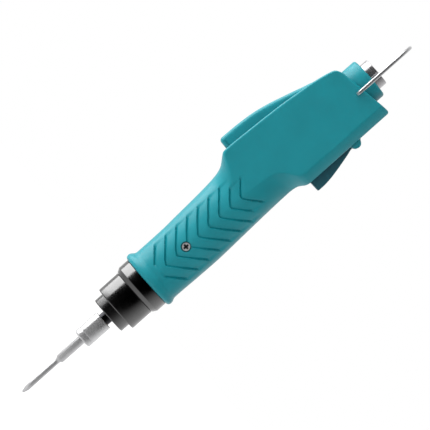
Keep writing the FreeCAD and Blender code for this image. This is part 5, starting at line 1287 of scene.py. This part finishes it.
@dataclass
class Screws:
    """The cross-head screws in their wells: one in each side of the grip, two in the far shell.

    The shank, and the floor, which is the dark disc that paints the shade under the cross, are given as
    (radius, depth) under the head's rim.
    """

    housing: Housing
    radius: float = 2.2
    sunk: float = 0.55
    dome: float = 0.12
    cross: float = 1.5
    arm_half: float = 0.6
    arm_soft: float = 0.2
    arm_reach: float = 1.6
    end_soft: float = 0.3
    turns: int = 120
    rings: int = 46
    shade_disc_turns: int = 48
    shank: Pairs = ((2.2, 1.9), (1.25, 1.9), (1.25, 4.0), (0.0, 4.0))
    floor: Pairs = ((0.0, 0.3), (1.6, 0.3), (1.6, 0.9), (0.0, 0.9))

    def rim_height(self, at: float, across: float, angle: Array) -> float:
        """How far a head's rim lies from the parting plane: a little under its well's lowest edge.

        Args:
            at: the screw's place on the axis.
            across: its place across.
            angle: the angles at which the well's edge is looked at.

        Returns:
            The rim's height.
        """
        room = self.housing.screw_room
        around = self.housing.side_height(at + room * np.cos(angle), across + room * np.sin(angle))
        return around.min() - self.sunk

    def arm(self, narrow: Array, long: Array) -> Array:
        """How deep one arm of the cross is sunk, from 0 to 1."""
        width = eased((self.arm_half - np.abs(narrow)) / self.arm_soft)
        return width * eased((self.arm_reach - np.abs(long)) / self.end_soft)

    def screw(self, at: float, across: float, side: float) -> Grid:
        """A domed head with a cross of sunk arms, over its shank, as one closed surface.

        The head's height is dome * (1 - (r / R)^2) less the cross, whose arms are the places where
        one coordinate is near 0 and the other is short of the arm's end, both with soft edges.

        Args:
            at: the screw's place on the axis.
            across: its place across.
            side: the side it goes in from.

        Returns:
            The screw's surface.
        """
        angle = once_round(self.turns)
        rim = self.rim_height(at, across, angle)
        reach = np.linspace(0.0, 1.0, self.rings)[:, None] * self.radius
        a, b = reach * np.cos(angle), reach * np.sin(angle)
        arms = np.maximum(self.arm(a, b), self.arm(b, a))
        head = rim + self.dome * (1 - (reach / self.radius) ** 2) - self.cross * arms
        shank = np.array(self.shank)
        a = np.concatenate((a, shank[:, :1] * np.cos(angle)))
        b = np.concatenate((b, shank[:, :1] * np.sin(angle)))
        height = np.concatenate((head, rim - shank[:, 1:] + 0 * angle))
        return Grid(placed(across + b, side * height, at + a), around_columns=True)

    def recess_shade(self, at: float, across: float, side: float) -> Grid:
        """A dark disc of painted shade in the head, which shows only through the arms of the cross,
        where they would lie in shade.

        Args:
            at: the screw's place on the axis.
            across: its place across.
            side: the side it goes in from.

        Returns:
            The disc's surface.
        """
        angle = once_round(self.shade_disc_turns)
        shape = np.array(self.floor)
        x, along = across + shape[:, :1] * np.sin(angle), at + shape[:, :1] * np.cos(angle)
        height = self.rim_height(at, across, angle) - shape[:, 1:]
        return Grid(placed(x, side * height, along), around_columns=True)

    def build(self, builder: Builder) -> None:
        """Makes the grip's screws, the far shell's, and the discs of painted shade under the crosses of
        all four.

        Args:
            builder: what adds the pieces.
        """
        grip = [(*self.housing.grip_screw, side) for side in (-1.0, 1.0)]
        case = [(*place, 1.0) for place in self.housing.case_screws]
        heads = [self.screw(*place) for place in grip]
        builder.add("grip_cross_screws", heads, "housing", "screw_steel", ["grip_screws"])
        heads = [self.screw(*place) for place in case]
        builder.add("case_cross_screws", heads, "housing", "screw_steel", ["case_screws"])
        # Painted shade: a dark disc in the black insulator's finish sits under each cross and darkens
        # its arms where they lie in shade.
        shade_discs = [self.recess_shade(*place) for place in grip + case]
        builder.add("screw_recess_painted_shade", shade_discs, "housing", "black_insulator")


@dataclass
class Bit:
    """The cross-point bit: a thin blade with four flutes at its point, and its round shank.

    Its profile is (distance from the point, radius).
    """

    point: float = -87.35
    profile: Pairs = (
        (0.0, 0.45), (0.5, 0.72), (3.2, 1.42), (3.9, 1.5), (24.9, 1.5), (25.6, 1.85),
        (25.9, 2.42), (26.2, 2.5), (57.0, 2.5),
    )
    blade: float = 24.9
    flute: float = 0.5
    flute_rise: float = 6.5
    flute_power: float = 0.8
    fine_end: float = 7.5
    fine_steps: int = 60
    blade_steps: int = 20
    turns: int = 96

    def build(self, builder: Builder) -> None:
        """Makes the bit: its radius is the profile's times 1 - flute * fall * |sin 2a|^0.8.

        Args:
            builder: what adds the piece.
        """
        shape = np.array(self.profile)
        fine = np.linspace(0, self.fine_end, self.fine_steps)
        wide = np.linspace(self.fine_end, self.blade, self.blade_steps)
        run = np.unique(np.concatenate((fine, wide, shape[:, 0])))
        angle = once_round(self.turns)
        fall = 1 - eased(run / self.flute_rise)[:, None]
        cut = self.flute * fall * np.abs(np.sin(2 * angle)) ** self.flute_power
        radius = np.interp(run, shape[:, 0], shape[:, 1])[:, None] * (1 - cut)
        radius = np.concatenate((0 * angle, radius, 0 * angle))
        along = np.concatenate(([run[0]], run, [run[-1]]))[:, None] + self.point
        points = placed(radius * np.cos(angle), radius * np.sin(angle), along)
        grid = Grid(points, around_columns=True)
        builder.add("cross_point_bit", [grid], "spindle", "bit_steel", ["screwdriver_bit"])


# The studio
@dataclass(frozen=True)
class Sweep:
    """White light whose strength changes evenly along an axis, from one place on it to its end.

    The place is between -1 and 1, and the strengths are those there and at the end.
    """

    axis: Triple
    first: float
    strength: tuple[float, float]

    def light(
        self, tree: bpy.types.NodeTree, kind: str, look: bpy.types.NodeSocket
    ) -> bpy.types.Node:
        """Adds the light's nodes to the world or to a material.

        Args:
            tree: the nodes that they go among.
            kind: the type of the light's node.
            look: the direction looked in, or a place seen from the object.

        Returns:
            The light's node.
        """
        unit = added(tree, "ShaderNodeVectorMath", {0: look}, operation="NORMALIZE")
        inputs = {0: unit.outputs["Vector"], 1: self.axis}
        along = added(tree, "ShaderNodeVectorMath", inputs, operation="DOT_PRODUCT")
        low, high = self.strength
        inputs = {"Value": along.outputs["Value"], "From Min": self.first, "From Max": 1.0}
        shade = added(tree, "ShaderNodeMapRange", {**inputs, "To Min": low, "To Max": high})
        return added(tree, kind, {"Color": WHITE, "Strength": shade.outputs["Result"]})


@dataclass
class Studio:
    """A plain pale floor, one soft lamp and a camera square to the parting plane.

    Its lengths are in metres, the sensor's in millimetres. Matt surfaces get more light from the
    start lever's side, and gloss sees more of it behind the object than in front.
    """

    right: Triple = (0.6639, 0.0, 0.7478)
    up: Triple = (-0.7478, 0.0, 0.6639)
    middle: Triple = (-2.36 * MM, 0.0, (49.9 - HOOK) * MM)
    frame_width: float = 225.75 * MM
    distance: float = 2.2
    sensor: float = 36.0
    far: float = 50.0
    matt: Sweep = Sweep((1.0, 0.0, 0.0), -1.0, (1.26, 0.34))
    gloss: Sweep = Sweep((0.35, 0.9, -0.35), -0.5, (0.0, 1.05))
    lamp_place: Triple = (-0.6, 0.06, -0.06)
    lamp_target: Triple = (0.0, 0.0, -0.13)
    lamp_size: tuple[float, float] = (0.7, 1.3)
    lamp_power: float = 10.0
    floor_level: float = -0.274
    floor_rings: tuple[float, ...] = (0.0, 0.3, 1.05, 3.0)
    floor_tone: float = 0.86
    floor_roughness: float = 0.9
    floor_lift: float = 0.45
    floor_turns: int = 96

    @staticmethod
    def stand(
        name: str, data: bpy.types.ID, axes: Sequence[Array | Triple], place: Array | Triple
    ) -> bpy.types.Object:
        """Puts a camera or a lamp into the scene.

        Args:
            name: its name.
            data: the camera's or the lamp's data.
            axes: its right, its up and its back, as unit vectors.
            place: where it stands.

        Returns:
            Its object.
        """
        matrix = np.eye(4)
        matrix[:3, :3] = np.stack(axes, axis=1)
        matrix[:3, 3] = place
        item = bpy.data.objects.new(name, data)
        item.matrix_world = Matrix(matrix.tolist())
        bpy.context.scene.collection.objects.link(item)
        return item

    def camera(self) -> None:
        """Places the camera across the parting plane, turned so that the bit points down left."""
        data = bpy.data.cameras.new("photo_camera")
        data.sensor_width = self.sensor
        data.sensor_fit = "HORIZONTAL"
        data.lens = self.sensor * self.distance / self.frame_width
        data.clip_end = self.far
        back = np.cross(self.right, self.up)
        place = np.array(self.middle) + back * self.distance
        axes = (self.right, self.up, back)
        bpy.context.scene.camera = self.stand("photo_camera", data, axes, place)

    def lamp(self) -> None:
        """Places the soft rectangular lamp, which faces its target, long side along the object."""
        data = bpy.data.lights.new("upper_softbox", "AREA")
        data.shape = "RECTANGLE"
        data.size, data.size_y = self.lamp_size
        data.energy = self.lamp_power
        back = np.array(self.lamp_place) - np.array(self.lamp_target)
        back /= np.linalg.norm(back)
        side = np.cross((0.0, 0.0, 1.0), back)
        side /= np.linalg.norm(side)
        self.stand("upper_softbox", data, (side, np.cross(back, side), back), self.lamp_place)

    @staticmethod
    def mixed(
        tree: bpy.types.NodeTree,
        share: bpy.types.NodeSocket,
        first: bpy.types.Node,
        second: bpy.types.Node,
    ) -> bpy.types.Node:
        """Mixes two shaders: the first where the share is 0, the second where it is 1."""
        inputs = {0: share, 1: first.outputs[0], 2: second.outputs[0]}
        return added(tree, "ShaderNodeMixShader", inputs)

    def world(self) -> None:
        """White where the camera sees it, and else the lights for matt surfaces and for gloss."""
        world = bpy.data.worlds.new("studio")
        bpy.context.scene.world = world
        world.use_nodes = True
        world.cycles.sampling_method = "NONE"
        tree = world.node_tree
        tree.nodes.clear()
        look = added(tree, "ShaderNodeTexCoord").outputs["Generated"]
        rays = added(tree, "ShaderNodeLightPath").outputs
        seen = added(tree, "ShaderNodeBackground", {"Color": WHITE})
        matt = self.matt.light(tree, "ShaderNodeBackground", look)
        gloss = self.gloss.light(tree, "ShaderNodeBackground", look)
        unseen = self.mixed(tree, rays["Is Glossy Ray"], matt, gloss)
        mix = self.mixed(tree, rays["Is Camera Ray"], unseen, seen)
        added(tree, "ShaderNodeOutputWorld", {"Surface": mix.outputs[0]})

    def floor(self) -> None:
        """A wide pale floor under the bit, lifted to white for the camera so that only shadows show.

        Gloss sees the world's gloss light in it.
        """
        angle = once_round(self.floor_turns)
        reach = np.array(self.floor_rings)[:, None]
        level = 0 * reach * angle + self.floor_level
        points = np.stack((reach * np.cos(angle), reach * np.sin(angle), level), axis=-1)
        item = made("pale_floor", [Grid(points, around_columns=True)])
        material = bpy.data.materials.new("pale_floor")
        material.use_nodes = True
        tree = material.node_tree
        shader = tree.nodes["Principled BSDF"]
        rays = added(tree, "ShaderNodeLightPath").outputs
        inputs = {"Value": rays["Is Camera Ray"], "To Max": self.floor_lift}
        lift = added(tree, "ShaderNodeMapRange", inputs)
        feed(
            tree,
            shader,
            {
                "Base Color": (self.floor_tone, self.floor_tone, self.floor_tone, 1.0),
                "Roughness": self.floor_roughness,
                "Specular IOR Level": 0.0,
                "Emission Color": WHITE,
                "Emission Strength": lift.outputs["Result"],
            },
        )
        look = added(tree, "ShaderNodeTexCoord").outputs["Object"]
        gloss = self.gloss.light(tree, "ShaderNodeEmission", look)
        mix = self.mixed(tree, rays["Is Glossy Ray"], shader, gloss)
        feed(tree, tree.nodes["Material Output"], {"Surface": mix.outputs[0]})
        item.data.materials.append(material)

    def build(self) -> None:
        """Sets up camera, world, floor and lamp."""
        bpy.context.scene.view_settings.view_transform = "Standard"
        self.camera()
        self.world()
        self.floor()
        self.lamp()


def main() -> None:
    """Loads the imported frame, builds every visible piece and sets up the studio."""
    logging.basicConfig(level=logging.INFO, format="%(name)s %(message)s")
    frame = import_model()
    wardrobe = Wardrobe()
    wardrobe.fill()
    wardrobe.dress_nodes(frame["nodes"], frame["record"])
    builder = Builder(wardrobe)
    housing = Housing()
    for piece in (housing, START_LEVER, DIRECTION_LEVER, Screws(housing), Nose(), Bit(), Tail()):
        piece.build(builder)
    Studio().build()


if __name__ == "__main__":
    main()
